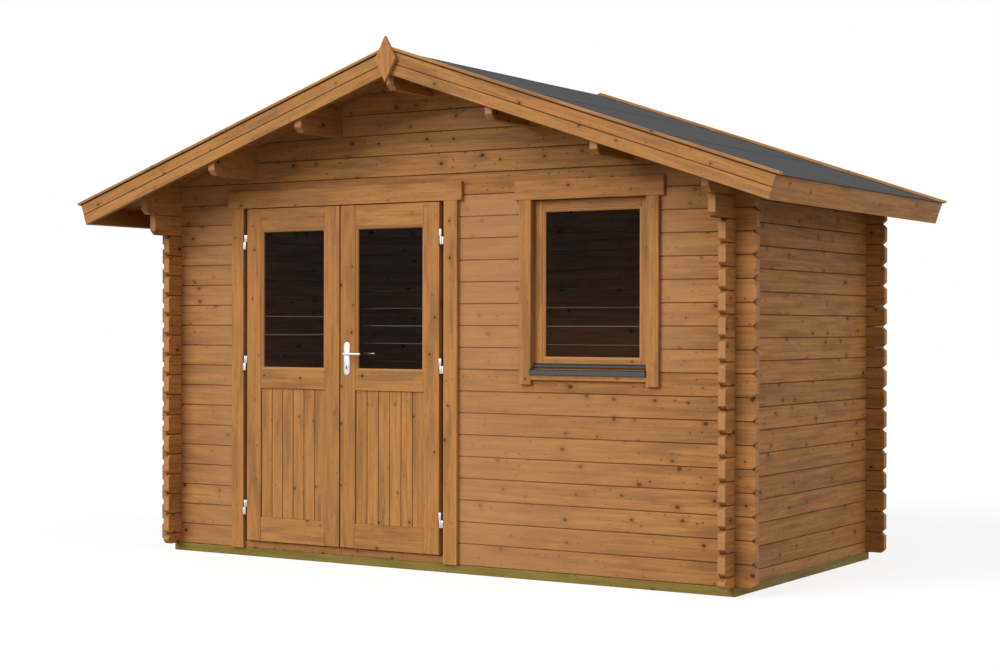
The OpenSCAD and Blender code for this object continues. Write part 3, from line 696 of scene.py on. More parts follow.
def metal_finish(name, colour, rough, metallic):
    if name in FINISHES:
        return FINISHES[name]
    material, t, shader, _ = new_finish(name)
    place = t.node("ShaderNodeTexCoord").outputs["Object"]
    satin = t.placed(group_of(brushed), {"Place": place, "Colour": rgba(colour), "Rough": rough}).outputs
    t.feed(shader.inputs["Base Color"], satin["Color"])
    t.feed(shader.inputs["Roughness"], satin["Roughness"])
    bump = t.node("ShaderNodeBump", {"Height": satin["Height"], "Strength": 0.15, "Distance": 0.0001})
    t.feed(shader.inputs["Normal"], bump.outputs[0])
    shader.inputs["Metallic"].default_value = metallic
    FINISHES[name] = material
    return material


def steel_finish():
    return metal_finish("satin_steel", CABIN().fittings.steel, 0.34, 1.0)


def coated_finish():
    return metal_finish("coated_metal", CABIN().fittings.coated, 0.42, 0.0)


# Dark nail heads, and painted shade for the keyhole and the screw slots, which are drawn as flat dark pieces.
def dark_finish():
    return metal_finish("dark_recess", (0.012, 0.010, 0.009), 0.6, 0.0)


def glass_finish():
    """Tinted glass that lets the light of the lamps through to the room."""
    if "glass" in FINISHES:
        return FINISHES["glass"]
    c = CABIN().fittings
    material, t, shader, output = new_finish("tinted_glass")
    place = t.node("ShaderNodeTexCoord").outputs["Object"]
    film = t.noise(place, 6.0, 3.0, 0.6)
    t.feed(shader.inputs["Roughness"], t.remap(film, 0.35, 0.75, 0.0, 0.05))
    dust = t.remap(film, 0.3, 0.8, 1.0, 0.93)
    t.feed(shader.inputs["Base Color"],
           t.mix(1.0, c.glass, t.node("ShaderNodeCombineColor", {0: dust, 1: dust, 2: dust}).outputs[0],
                 "MULTIPLY"))
    shader.inputs["Transmission Weight"].default_value = 1.0
    shader.inputs["IOR"].default_value = 1.14
    shader.inputs["Specular IOR Level"].default_value = 0.2
    clear = t.node("ShaderNodeBsdfTransparent", {"Color": (0.86, 0.82, 0.78, 1)})
    path = t.node("ShaderNodeLightPath").outputs
    through = t.math("MAXIMUM", path["Is Shadow Ray"], path["Is Diffuse Ray"])
    mix = t.node("ShaderNodeMixShader", {0: through, 1: shader.outputs[0], 2: clear.outputs[0]})
    t.feed(output.inputs["Surface"], mix.outputs[0])
    FINISHES["glass"] = material
    return material


# Logs

def log_section():
    """Outline of a log across its length: v up from its lower joint, w out from 40 mm inside to the face."""
    c = CABIN().timber
    return section(SLACK, c.course - SLACK, -LOG_T, 0, c.groove, c.groove, 1, "in out")


def chamfered_end(at, way, low, high, chamfer_low, chamfer_high):
    """Stations from the end of a log inwards: the end face, its bevel and the full height."""
    edge = 0.0012
    deepest = max(chamfer_low, chamfer_high)
    rows = [[at, low + chamfer_low, high - chamfer_high, edge],
            [at + way * edge, low + max(chamfer_low - edge, 0), high - max(chamfer_high - edge, 0), 0],
            [at + way * deepest, low, high, 0]]
    return rows[::way]


def notched(at, width, low, high, low_cut, high_cut):
    """Stations of a notch that narrows the log from low..high to low_cut..high_cut over a width."""
    return [[at, low, high, 0], [at, low_cut, high_cut, 0],
            [at + width, low_cut, high_cut, 0], [at + width, low, high, 0]]


WALL_AXES = {"front": (X, Z, -Y), "back": (-X, Z, Y), "right": (Y, Z, X), "left": (-Y, Z, -X)}
WALL_FACE = {"front": HALF_D, "back": HALF_D, "right": HALF_W, "left": HALF_W}


def lay_log(shells, wall, z, stations, tone=None):
    """Puts a log into a wall: along it from left to right seen from outside, up from z, out to its face."""
    axes = WALL_AXES[wall]
    place = WALL_FACE[wall] * axes[2] + z * Z
    shells.timber(log_section(), stations, place, axes, tone)


def crossing_log(start, end, low, high, cross, opening=None):
    """Stations of a log that crosses another wall at +-cross, cut off plain where it starts or ends short.

    A log reaches from start to end. Past a crossing its end is chamfered, and at the crossing a quarter
    of its height is cut away above and below.
    """
    c = CABIN().timber
    quarter = c.course / 4
    rows = []
    if start < -cross:
        rows += chamfered_end(start, 1, low, high, c.chamfer, c.chamfer)
        rows += notched(-cross, LOG_T, low, high, quarter, c.course - quarter)
    else:
        rows += [[start, low, high, 0]]
    if opening is not None:
        left, right, cut = opening
        rows += notched(left, right - left, low, high, low, cut)
    if end > cross:
        rows += notched(cross - LOG_T, LOG_T, low, high, quarter, c.course - quarter)
        rows += chamfered_end(end, -1, low, high, c.chamfer, c.chamfer)
    else:
        rows += [[end, low, high, 0]]
    return rows


def courses(first, top):
    """Heights at which the logs of a wall start."""
    step = CABIN().timber.course
    return first + step * np.arange(round((top - first) / step))


def gable_spans(z):
    """Stations of the pieces of one gable log, between the purlins and under the roof.

    The roof's and the purlins' undersides give the height at each place; between two places where that
    line bends or jumps it is straight, and a log goes on as long as there is height for it.
    """
    step = CABIN().timber.course
    bands = purlin_bands()
    bends = {-INNER_W, INNER_W, 0.0}
    for height in (z, z + step):
        reach = (RIDGE_Z - SEAT - height) / FALL
        bends |= {-reach, reach}
    for left, right, _ in bands:
        bends |= {left, right}
    bends = sorted(x for x in bends if -INNER_W <= x <= INNER_W)
    spans, rows = [], []
    for left, right in zip(bends, bends[1:]):
        middle = (left + right) / 2
        inside = [under for low, high, under in bands if low < middle < high]
        tops = [min([step, under_roof(x) - z] + [under - z for under in inside]) for x in (left, right)]
        if max(tops) > MM and right - left > MM:
            rows += [[left, 0, max(tops[0], 0), 0], [right, 0, max(tops[1], 0), 0]]
        elif rows:
            spans.append(rows)
            rows = []
    return spans + ([rows] if rows else [])


def purlin_bands():
    """Left side, right side and underside of each purlin."""
    low, high = corners("purlins")
    ridge_low, ridge_high = corners("ridge_purlin")
    half = (ridge_high[0] - ridge_low[0]) / 2
    outer = high[0] - half
    depth = under_roof(outer + half) - low[2] + half * FALL
    bands = [(ridge_low[0], ridge_high[0], ridge_low[2])]
    for x in (outer / 2, outer):
        for side in (-1, 1):
            bands.append((side * x - half, side * x + half, under_roof(x) - depth))
    return bands


# Operators

def CABIN():
    """The scene's sizes and colours."""
    return bpy.context.scene.log_cabin


class CabinStep:
    """What every step shares: it builds its pieces and reports that it has finished."""
    bl_options = {"REGISTER", "UNDO"}

    def execute(self, context):
        self.make(context)
        return {"FINISHED"}


class CABIN_OT_stage(CabinStep, bpy.types.Operator):
    """Sets the camera, the lamps, the background and the floor"""
    bl_idname = "log_cabin.stage"
    bl_label = "Stage"

    def make(self, context):
        c = CABIN().stage
        scene = context.scene
        ahead = Vector((-math.sin(c.yaw) * math.cos(c.tilt), math.cos(c.yaw) * math.cos(c.tilt), math.sin(c.tilt)))
        side = Vector((math.cos(c.yaw), math.sin(c.yaw), 0))
        up = side.cross(ahead)
        right = side * math.cos(c.roll) + up * math.sin(c.roll)
        above = right.cross(ahead)
        turn = Matrix((right, above, -ahead)).transposed().to_4x4()
        camera = bpy.data.objects.new("camera", bpy.data.cameras.new("camera"))
        camera.matrix_world = Matrix.Translation(c.place) @ turn
        camera.data.lens = c.lens
        camera.data.sensor_width = 36
        camera.data.clip_end = 200
        scene.collection.objects.link(camera)
        scene.camera = camera
        scene.view_settings.view_transform = "Standard"
        self.world(scene, c.sky)
        self.lamp(scene, "key", c.key, (-60, 0, -24), 44)
        self.lamp(scene, "fill", c.fill, (-58, 0, 76), 70)
        self.floor(scene)

    def world(self, scene, strength):
        """White to the camera and in reflections, and an even sky for light."""
        world = bpy.data.worlds.new("pale")
        world.use_nodes = True
        world.node_tree.nodes.clear()
        t = Tree(world.node_tree)
        path = t.node("ShaderNodeLightPath").outputs
        seen = t.math("MAXIMUM", path["Is Camera Ray"],
                      t.math("MAXIMUM", path["Is Glossy Ray"], path["Is Transmission Ray"]))
        sky = t.node("ShaderNodeBackground", {"Color": (1, 1, 1, 1), "Strength": strength})
        white = t.node("ShaderNodeBackground", {"Color": (1, 1, 1, 1), "Strength": 1.0})
        both = t.node("ShaderNodeMixShader", {0: seen, 1: sky.outputs[0], 2: white.outputs[0]})
        output = t.node("ShaderNodeOutputWorld")
        t.feed(output.inputs["Surface"], both.outputs[0])
        scene.world = world

    def lamp(self, scene, name, strength, turn, softness):
        """A sun lamp, turned from straight down by the angles given, with a soft edge to its shadows."""
        data = bpy.data.lights.new(name, "SUN")
        data.energy = strength
        data.angle = math.radians(softness)
        lamp = bpy.data.objects.new(name, data)
        pitch, _, yaw = (math.radians(a) for a in turn)
        lamp.matrix_world = Matrix.Rotation(yaw, 4, "Z") @ Matrix.Rotation(-pitch, 4, "X")
        scene.collection.objects.link(lamp)

    def floor(self, scene):
        """A wide pale floor: mostly its own white to the camera, so that the shadow stays light."""
        half = 60.0
        corner = np.array([[-half, -half], [half, -half], [half, half], [-half, half]])
        mesh = bpy.data.meshes.new("stage_floor")
        mesh.from_pydata(np.column_stack([corner, np.full(4, -0.0005)]).tolist(), [], [[0, 1, 2, 3]])
        floor = bpy.data.objects.new("stage_floor", mesh)
        scene.collection.objects.link(floor)
        material, t, shader, output = new_finish("pale_floor")
        place = t.node("ShaderNodeTexCoord").outputs["Object"]
        pale = t.remap(t.noise(place, 3.0, 3.0), 0.3, 0.7, 0.86, 0.90)
        t.feed(shader.inputs["Base Color"], t.node("ShaderNodeCombineColor", {0: pale, 1: pale, 2: pale}).outputs[0])
        shader.inputs["Roughness"].default_value = 0.9
        shader.inputs["Specular IOR Level"].default_value = 0.0
        glow = t.node("ShaderNodeEmission", {"Color": (1, 1, 1, 1), "Strength": 1.12})
        dim = t.node("ShaderNodeBsdfDiffuse", {"Color": (0.36, 0.36, 0.36, 1)})
        path = t.node("ShaderNodeLightPath").outputs
        seen = t.math("MAXIMUM", path["Is Camera Ray"],
                      t.math("MAXIMUM", path["Is Glossy Ray"], path["Is Transmission Ray"]))
        pale = t.node("ShaderNodeMixShader", {0: 0.72, 1: shader.outputs[0], 2: glow.outputs[0]})
        mix = t.node("ShaderNodeMixShader", {0: seen, 1: dim.outputs[0], 2: pale.outputs[0]})
        t.feed(output.inputs["Surface"], mix.outputs[0])
        mesh.materials.append(material)


class CABIN_OT_base(CabinStep, bpy.types.Operator):
    """Base beams, floor bearers and floor boards"""
    bl_idname = "log_cabin.base"
    bl_label = "Base and floor"

    def make(self, context):
        low, high = BASE_LOW, BASE_HIGH
        side_low, side_high = corners("side_base_beams")
        beam = high[1] - side_high[1]
        long_beams = Shells("base_front_and_back")
        for y0, y1 in ((low[1], low[1] + beam), (high[1] - beam, high[1])):
            long_beams.plank([low[0], y0, 0], [high[0], y1, high[2]], 0, 0.003)
        long_beams.build(treated_finish(), "treated_wood", "cabin", "long_base_beams")
        side_beams = Shells("base_sides")
        for s in (-1, 1):
            side_beams.plank([s * side_high[0], side_low[1] + SLACK, 0],
                             [s * (side_high[0] - beam), side_high[1] - SLACK, high[2]], 1, 0.003)
        side_beams.build(treated_finish(), "treated_wood", "cabin", "side_base_beams")
        b_low, b_high = corners("floor_bearers")
        spacing = (b_high[0] - b_low[0] - beam) / 4
        bearers = Shells("bearers")
        for i in range(5):
            x = b_low[0] + i * spacing
            bearers.plank([x, b_low[1] + SLACK, 0], [x + beam, b_high[1] - SLACK, high[2]], 1, 0.003)
        bearers.build(treated_finish(), "treated_wood", "cabin", "floor_bearers")
        self.floor_boards()

    def floor_boards(self):
        """Boards along the room, the first of them cut off at both sides of the doorway."""
        low, high = corners("floor")
        jamb_low, jamb_high = corners("door_jambs")
        width = (high[1] - low[1]) / 18
        boards = Shells("floor_boards")
        for i in range(18):
            y0, y1 = low[1] + i * width + SLACK, low[1] + (i + 1) * width - SLACK
            stretches = [(low[0], high[0])]
            if y0 < jamb_high[1]:
                stretches = [(low[0], jamb_low[0] - MM), (jamb_high[0] + MM, high[0])]
            for x0, x1 in stretches:
                boards.plank([x0 + SLACK, y0, low[2] + SLACK], [x1 - SLACK, y1, high[2]], 0, 0.001, (0, 0.0015))
        boards.build(floor_finish(), "floor_wood", "cabin", "floor")


class CABIN_OT_walls(CabinStep, bpy.types.Operator):
    """Every log of the four walls and the two gables"""
    bl_idname = "log_cabin.walls"
    bl_label = "Log walls"

    def make(self, context):
        self.front()
        self.back()
        self.sides()
        self.gables()

    def front(self):
        """Front logs: short ones beside the door and the window, long ones under the window."""
        course = CABIN().timber.course
        left_low, left_high = corners("front_wall_left")
        mid_low, _ = corners("front_wall_middle")
        cut_low, cut_high = corners("front_wall_below_window")
        left = Shells("front_logs_left_of_door")
        right = Shells("front_logs_right_of_door")
        for z in courses(BASE_TOP, WALL_TOP):
            lay_log(left, "front", z, crossing_log(-LOG_END_X, left_high[0], 0, course, HALF_W))
            start = mid_low[0]
            if z + course <= cut_high[2] + MM:
                lay_log(right, "front", z, crossing_log(start, LOG_END_X, 0, course, HALF_W))
            elif z < cut_high[2]:
                opening = (cut_low[0], cut_high[0], cut_high[2] - z)
                lay_log(right, "front", z, crossing_log(start, LOG_END_X, 0, course, HALF_W, opening))
            else:
                lay_log(right, "front", z, crossing_log(start, cut_low[0], 0, course, HALF_W))
                lay_log(right, "front", z, crossing_log(cut_high[0], LOG_END_X, 0, course, HALF_W))
        left.build(log_finish(), "stained_wood", "cabin", "front_wall_left")
        right.build(log_finish(), "stained_wood", "cabin", "front_wall_middle", "front_wall_right",
                    "front_wall_below_window")

    def back(self):
        """Back logs, each in one length."""
        course = CABIN().timber.course
        logs = Shells("back_logs")
        for z in courses(BASE_TOP, WALL_TOP):
            lay_log(logs, "back", z, crossing_log(-LOG_END_X, LOG_END_X, 0, course, HALF_W))
        logs.build(log_finish(), "stained_wood", "cabin", "back_wall")

    def sides(self):
        """Side logs: half a log at the bottom, and a longer one at the top whose front end carries the plate."""
        c = CABIN().timber
        half = c.course / 2
        step = -SIDE_LOW[1]
        for wall, way in (("right", 1), ("left", -1)):
            logs = Shells(f"{wall}_logs")
            lay_log(logs, wall, BASE_TOP - half,
                    self.side_stations(way, half, half + c.course / 4))
            for z in courses(BASE_TOP + half, PLATE_Z)[:-1]:
                lay_log(logs, wall, z, crossing_log(-LOG_END_Y, LOG_END_Y, 0, c.course, HALF_D))
            plain = crossing_log(-LOG_END_Y, LOG_END_Y, 0, c.course, HALF_D)
            longer = chamfered_end(-step, 1, 0, c.course, c.step_chamfer, 0)
            rows = longer + plain[3:]
            if way < 0:
                rows = [[-along, low, high, inset] for along, low, high, inset in rows[::-1]]
            lay_log(logs, wall, PLATE_Z - c.course, rows)
            logs.build(log_finish(), "stained_wood", "cabin", f"{wall}_wall")

    def side_stations(self, way, floor, notch_top):
        """Stations of the half log at the bottom, which is notched from above only."""
        c = CABIN().timber
        top = c.course
        rows = chamfered_end(-LOG_END_Y, 1, floor, top, c.chamfer, c.chamfer)
        for at in (-HALF_D, HALF_D - LOG_T):
            rows += notched(at, LOG_T, floor, top, floor, notch_top)
        return rows + chamfered_end(LOG_END_Y, -1, floor, top, c.chamfer, c.chamfer)

    def gables(self):
        """Gable logs, cut to the roof's slope and round the purlins."""
        for wall in ("front", "back"):
            logs = Shells(f"{wall}_gable_logs")
            top = under_roof(0)
            step = CABIN().timber.course
            for z in WALL_TOP + step * np.arange(math.ceil((top - WALL_TOP) / step)):
                for rows in gable_spans(z):
                    lay_log(logs, wall, z, rows)
            logs.build(log_finish(), "stained_wood", "cabin", f"{wall}_gable")


class CABIN_OT_purlins(CabinStep, bpy.types.Operator):
    """Wall plates, purlins and the ridge purlin"""
    bl_idname = "log_cabin.purlins"
    bl_label = "Plates and purlins"

    def make(self, context):
        c = CABIN().timber
        plates = Shells("wall_plate_logs")
        for side in (-1, 1):
            self.beam(plates, side, INNER_W + SLACK, HALF_W, PLATE_Z + SLACK, PLATE_LOW[1], PLATE_HIGH[1])
        plates.build(log_finish(), "stained_wood", "cabin", "wall_plates")
        low, high = corners("ridge_purlin")
        purlins = Shells("side_purlins")
        ridge = Shells("ridge_beam")
        for left, right, under in purlin_bands():
            if left < 0 < right:
                self.beam(ridge, 1, left, right, under, low[1], high[1])
            else:
                side = 1 if left > 0 else -1
                near, far = sorted((side * left, side * right))
                self.beam(purlins, side, near, far, under, low[1], high[1])
        purlins.build(roof_timber_finish(), "roof_wood", "cabin", "purlins")
        ridge.build(roof_timber_finish(), "roof_wood", "cabin", "ridge_purlin")

    def beam(self, shells, side, near, far, under, front, back):
        """A beam along the cabin with its top cut to the roof and its front lower corner chamfered.

        The outline across it is a rectangle whose top follows the roof. At the front, its underside
        rises by the chamfer while the beam comes forward by as much.
        """
        c = CABIN().timber
        edge = c.edge
        tops = [(x, under_roof(x)) for x in ((far, 0.0, near) if near < 0 < far else (far, near))]
        outline = [(near + edge, under), (far - edge, under), (far, under + edge)] + tops + [(near, under + edge)]
        outline = np.array(outline)
        cut = c.purlin_chamfer
        rows = []
        for y, lift, inset in ((front, cut, 1), (front + edge, cut - edge, 0), (front + cut, 0, 0),
                               (back - edge, 0, 0), (back, 0, 1)):
            x = np.clip(outline[:, 0], near + inset * edge, far - inset * edge)
            z = np.maximum(outline[:, 1], under + lift + inset * edge)
            z = np.minimum(z, outline[:, 1].max() if near < 0 < far else under_roof(far) + (far - x) * FALL
                           - inset * edge)
            rows.append(np.stack([side * x, np.full(len(x), y), z], 1))
        rings = np.array(rows)
        local = np.stack([rings[..., 1], rings[..., 2] - (under + outline[:, 1].max()) / 2,
                          rings[..., 0] - side * (near + far) / 2], -1)
        number = shells.random.integers(0, 30) + shells.random.uniform(0.1, 0.9)
        sawn = np.zeros(rings.shape[:2])
        sawn[[0, -1]] = 1
        board = np.stack([np.full(sawn.shape, number), np.zeros(sawn.shape), sawn], -1)
        shells.add(rings.reshape(-1, 3), tube_faces(*sawn.shape, flip=side > 0), local.reshape(-1, 3),
                   board.reshape(-1, 3))


class CABIN_OT_roof(CabinStep, bpy.types.Operator):
    """Roof boards, felt, bargeboards, cap strips, finial and eaves boards"""
    bl_idname = "log_cabin.roof"
    bl_label = "Roof"

    def make(self, context):
        self.boards()
        self.felt()
        self.verges()
        self.finial()
        self.eaves()

    def boards(self):
        """Roof boards down each slope, with a groove below at each joint, their ends square to the slope at the
        ridge.
        """
        c = CABIN().roof
        low, high = DECK_LOW, DECK_HIGH
        count = round((high[1] - low[1]) / c.deck_board)
        width = (high[1] - low[1]) / count
        for side, name in ((1, "right"), (-1, "left")):
            deck = Shells(f"{name}_roof_boarding")
            axes = (SLOPE * [side, 1, 1], Y, UP_SLOPE * [side, 1, 1])
            for i in range(count):
                outline = section(low[1] + i * width + SLACK, low[1] + (i + 1) * width - SLACK, 0, DECK_T,
                                  0.004, 0.001, 1, "in")
                v = (low[1] + i * width, low[1] + (i + 1) * width)
                rows = bevelled_ends(SLACK, DECK_LEN, *v, 0.001)
                deck.timber(outline, rows, RIDGE, axes)
            deck.build(roof_timber_finish(), "roof_wood", "cabin", f"{name}_roof_boards")

    def felt(self):
        """Felt in lapped strips over both slopes.

        Across the roof the top's height above the boards is a saw tooth: it rises by one lap over each
        strip and drops at the strip's lower edge, with slow waves along and down the roof. The
        underside lies flat. The surface is that profile carried along the ridge.
        """
        c = CABIN().roof
        low, high = FELT_LOW, FELT_HIGH
        under = DECK_T + SEAT
        thick = (high[2] - RIDGE_Z) * RUN - under
        end = (high[0] - (under + thick) * RISE) / RUN
        strips = max(1, round(end / c.strip))
        tooth = []
        for i in range(strips):
            first, last = end * i / strips, end * (i + 1) / strips
            inside = np.linspace(first, last, 14)[1:-1]
            start = first if i == 0 else first + 0.0015
            tooth += [(start, 1.0 if i == 0 else 0.0)]
            tooth += [(s, 1 - (last - s) / (last - first) if i else 1.0) for s in inside]
            tooth += [(last, 1.0)]
        tooth = np.array(tooth)
        s = np.concatenate([-tooth[:0:-1, 0], tooth[:, 0]])
        rise = np.concatenate([tooth[:0:-1, 1], tooth[:, 1]])
        y = np.linspace(low[1], high[1], 90)
        wave = np.sin(y[:, None] * 5.1 + s * 3.3) * np.sin(s * 7.9 + 1.7) * np.sin(y[:, None] * 2.3 + 0.6)
        calm = np.clip(np.minimum(y - low[1], high[1] - y)[:, None] / 0.12, 0, 1)
        top_n = under + thick - c.lap * (1 - rise) - c.ripple * (0.5 + 0.5 * wave) * calm
        top = self.over_slope(s, y, top_n)
        bottom = self.over_slope(s[::-1], y, np.full((len(y), len(s)), under))
        rings = np.concatenate([top, bottom], 1)
        sheet = Shells("felt_strips")
        sheet.add(rings.reshape(-1, 3), tube_faces(*rings.shape[:2]))
        sheet.build(felt_finish(), "felt", "cabin", "roof_felt")

    def over_slope(self, s, y, n):
        """Points s along both slopes from the ridge (left is negative), y along it, n above the boards."""
        side = np.sign(s)
        x = s * RUN + side * n * RISE
        z = RIDGE_Z - np.abs(s) * RISE + np.where(side == 0, n / RUN, n * RUN)
        return np.stack([x, np.broadcast_to(y[:, None], n.shape), z], -1)

    def verges(self):
        """Bargeboards of two boards each, and the cap strips over them, front and back."""
        edge = CABIN().timber.edge
        low, high = BARGE_LOW, BARGE_HIGH
        cap_low, cap_high = corners("right_verge_caps")
        felt_top = (FELT_HIGH[2] - RIDGE_Z) * RUN
        cap_n = felt_top + SEAT
        cap_t = (cap_high[2] - RIDGE_Z) * RUN - cap_n
        cap_end = (cap_high[0] - (cap_n + cap_t) * RISE) / RUN
        end = (high[0] - DECK_T * RISE) / RUN
        bottom = (low[2] - RIDGE_Z + end * RISE) / RUN
        middle = (DECK_T + bottom) / 2
        thick = DECK_LOW[1] - low[1]
        cap_w = 0.042
        for side, name in ((1, "right"), (-1, "left")):
            boards = Shells(f"{name}_barge_pair")
            caps = Shells(f"{name}_cap_strips")
            for face, way in ((low[1], -1), (high[1], 1)):
                axes = (SLOPE * [side, 1, 1], UP_SLOPE * [side, 1, 1], way * Y)
                place = RIDGE + face * Y
                # Fixed tones: the lower board lighter (0.80), the upper one darker (0.42). The darker upper board is
                # painted shade under the cap strip, on top of the two boards' own difference in tone.
                for v0, v1, tone in ((bottom, middle, 0.80), (middle, DECK_T, 0.42)):
                    outline = section(v0 + SLACK, v1 - SLACK, -thick, 0, edge, 0.0035, 1, "out")
                    boards.timber(outline, bevelled_ends(SLACK, end, v0, v1, edge), place, axes, tone,
                                  lean=(FALL, 0))
                cap_face = cap_low[1] if way < 0 else cap_high[1]
                outline = section(cap_n, cap_n + cap_t, -cap_w, 0, edge, edge)
                caps.timber(outline, bevelled_ends(SLACK, cap_end, cap_n, cap_n + cap_t, edge),
                            RIDGE + cap_face * Y, axes, 0.55, lean=(FALL, 0))
            boards.build(trim_finish(), "stained_wood", "cabin", f"{name}_bargeboards")
            caps.build(trim_finish(), "stained_wood", "cabin", f"{name}_verge_caps")

    def finial(self):
        """The diamond board at the front end of the ridge: a diamond outline with a bevelled front rim."""
        low, high = corners("finial")
        mid_z = (low[2] + high[2]) / 2
        half = np.array([high[0], (high[2] - low[2]) / 2])
        corner = np.radians([90, 180, 270, 0])
        points = np.stack([np.cos(corner), np.sin(corner)], 1) * half
        near, far = 0.98, 0.02
        outline = np.concatenate([[near * p + far * q, near * p + far * r] for p, q, r in
                                  zip(points, np.roll(points, 1, 0), np.roll(points, -1, 0))])
        outline = outline[::-1] + [0, mid_z]
        diamond = Shells("diamond_finial")
        plate(diamond, outline, high[1], low[1], 0.004)
        local = diamond.points[-1]
        diamond.grain[-1] = np.stack([local[:, 2] - mid_z, local[:, 0], local[:, 1] - low[1]], 1)
        diamond.board[-1] = np.tile([3.75, 0, 0], (diamond.count, 1))
        diamond.build(trim_finish(), "stained_wood", "cabin", "finial")

    def eaves(self):
        """Eaves boards along both lower edges, square to the slope."""
        low, high = corners("eaves_boards")
        edge = CABIN().timber.edge
        end = (high[0] - DECK_T * RISE) / RUN
        bottom = (low[2] - RIDGE_Z + end * RISE) / RUN
        thick = DECK_LOW[1] - BARGE_LOW[1] - SEAT
        boards = Shells("eaves_fascias")
        for side in (1, -1):
            axes = (Y, UP_SLOPE * [side, 1, 1], SLOPE * [side, 1, 1])
            outline = section(bottom, DECK_T, end - thick, end, edge, edge)
            rows = bevelled_ends(low[1] + SLACK, high[1] - SLACK, bottom, DECK_T, 0.001)
            boards.timber(outline, rows, RIDGE, axes, 0.5)
        boards.build(trim_finish(), "stained_wood", "cabin", "eaves_boards")


class CABIN_OT_door_frame(CabinStep, bpy.types.Operator):
    """Jambs, head, threshold, casings, headers and the strip under the window's sill"""
    bl_idname = "log_cabin.door_frame"
    bl_label = "Frames and casings"

    def make(self, context):
        self.frame()
        self.casings()

    def frame(self):
        """Jambs and head, each a board with a stop behind the leaves, and the threshold's two planks."""
        low, high = corners("door_jambs")
        head_low, head_high = corners("door_head")
        leaf_low, leaf_high = corners("right_door_frame")
        sill_low, sill_high = corners("threshold")
        middle = (low[0] + high[0]) / 2
        door_half = sill_high[0] - middle
        inner = door_half - 0.041
        stop_y = leaf_high[1] + 0.005
        jambs = Shells("door_posts")
        for side in (-1, 1):
            jambs.plank([middle + side * (door_half + SLACK / 2), low[1], low[2]],
                        [middle + side * (high[0] - middle), high[1], high[2] - SLACK], 2, 0.0015)
            jambs.plank([middle + side * inner, stop_y, low[2]],
                        [middle + side * (door_half - SLACK / 2), high[1], high[2] - SLACK], 2, 0.002)
        jambs.build(trim_finish(), "stained_wood", "cabin", "door_jambs")
        head = Shells("door_lintel")
        head.plank([middle - door_half + SLACK, head_low[1], leaf_high[2] + 0.005],
                   [middle + door_half - SLACK, stop_y, head_high[2]], 0, 0.0015)
        head.plank([middle - inner + SLACK, stop_y + SLACK, head_low[2]],
                   [middle + inner - SLACK, head_high[1], head_high[2]], 0, 0.0015)
        head.build(trim_finish(), "stained_wood", "cabin", "door_head")
        threshold = Shells("threshold_planks")
        for side in (-1, 1):
            threshold.plank([middle + side * SLACK, sill_low[1], sill_low[2]],
                            [middle + side * (door_half - SLACK), sill_high[1] - 0.028, sill_high[2]], 0, 0.003,
                            tone=0.2)
            threshold.plank([middle + side * SLACK, sill_high[1] - 0.0275, sill_low[2]],
                            [middle + side * (inner - SLACK), sill_high[1], sill_high[2]], 0, 0.002, tone=0.2)
        threshold.build(roof_timber_finish(), "stained_wood", "cabin", "threshold")

    def casings(self):
        """Casings beside door and window, headers across them, and a strip under the sill, all nailed on."""
        low, high = corners("side_casings")
        cross_low, cross_high = corners("cross_casings")
        sill_low, sill_high = corners("threshold")
        middle = (sill_low[0] + sill_high[0]) / 2
        door_half = sill_high[0] - middle
        door_w = middle - door_half - low[0]
        head_z = corners("right_door_frame")[1][2] + 0.005
        glazed_low, glazed_high = corners("window_sash")
        window_x = (glazed_low[0] + glazed_high[0]) / 2
        window_half = (glazed_high[0] - glazed_low[0]) / 2
        window_w = high[0] - glazed_high[0]
        header = cross_high[2] - glazed_high[2]
        over = cross_high[0] - high[0]
        door_top = cross_high[2]
        tail = 0.083
        sides = Shells("casing_boards")
        cross = Shells("header_boards")
        nails = Shells("casing_nails")
        face = low[1]
        for side in (-1, 1):
            sides.plank([middle + side * door_half, face, low[2]],
                        [middle + side * (door_half + door_w), high[1], head_z - SLACK], 2)
            sides.plank([window_x + side * window_half, face, glazed_low[2] - tail],
                        [window_x + side * (window_half + window_w), high[1], glazed_high[2] - SLACK], 2)
            for z in np.linspace(low[2] + 0.09, head_z - 0.07, 6):
                nail(nails, [middle + side * (door_half + door_w * 0.6), face, z])
            for z in np.linspace(glazed_low[2] - tail + 0.06, glazed_high[2] - 0.05, 4):
                nail(nails, [window_x + side * (window_half + window_w * 0.55), face, z])
        door_wide = door_half + door_w + over
        window_wide = window_half + window_w + over
        header_top = head_z + header
        cross.plank([middle - door_wide, face, head_z], [middle + door_wide, high[1], header_top], 0, tone=0.62)
        cross.plank([window_x - window_wide, face, glazed_high[2]],
                    [window_x + window_wide, high[1], glazed_high[2] + header], 0, tone=0.66)
        strip_top = glazed_low[2] - 0.030
        cross.plank([window_x - window_half + SLACK, face, strip_top - 0.028],
                    [window_x + window_half - SLACK, high[1], strip_top], 0, tone=0.6)
        for x in np.linspace(middle - door_wide + 0.07, middle + door_wide - 0.07, 7):
            nail(nails, [x, face, head_z + header * 0.45])
        for x in np.linspace(window_x - window_wide + 0.06, window_x + window_wide - 0.06, 5):
            nail(nails, [x, face, glazed_high[2] + header * 0.45])
        sides.build(trim_finish(), "stained_wood", "cabin", "side_casings")
        cross.build(trim_finish(), "stained_wood", "cabin", "cross_casings")
        nails.build(dark_finish(), "dark_metal", "cabin", smooth=40)


def nail(shells, place, radius=0.0024):
    """A nail head on a face that looks to the front: a low dome turned about a line out of the face."""
    profile = [(0, -0.002), (radius, -0.002), (radius, 0.0001), (radius * 0.6, 0.0005), (0, 0.0006)]
    turned(shells, profile, np.array(place), -Y, 10)


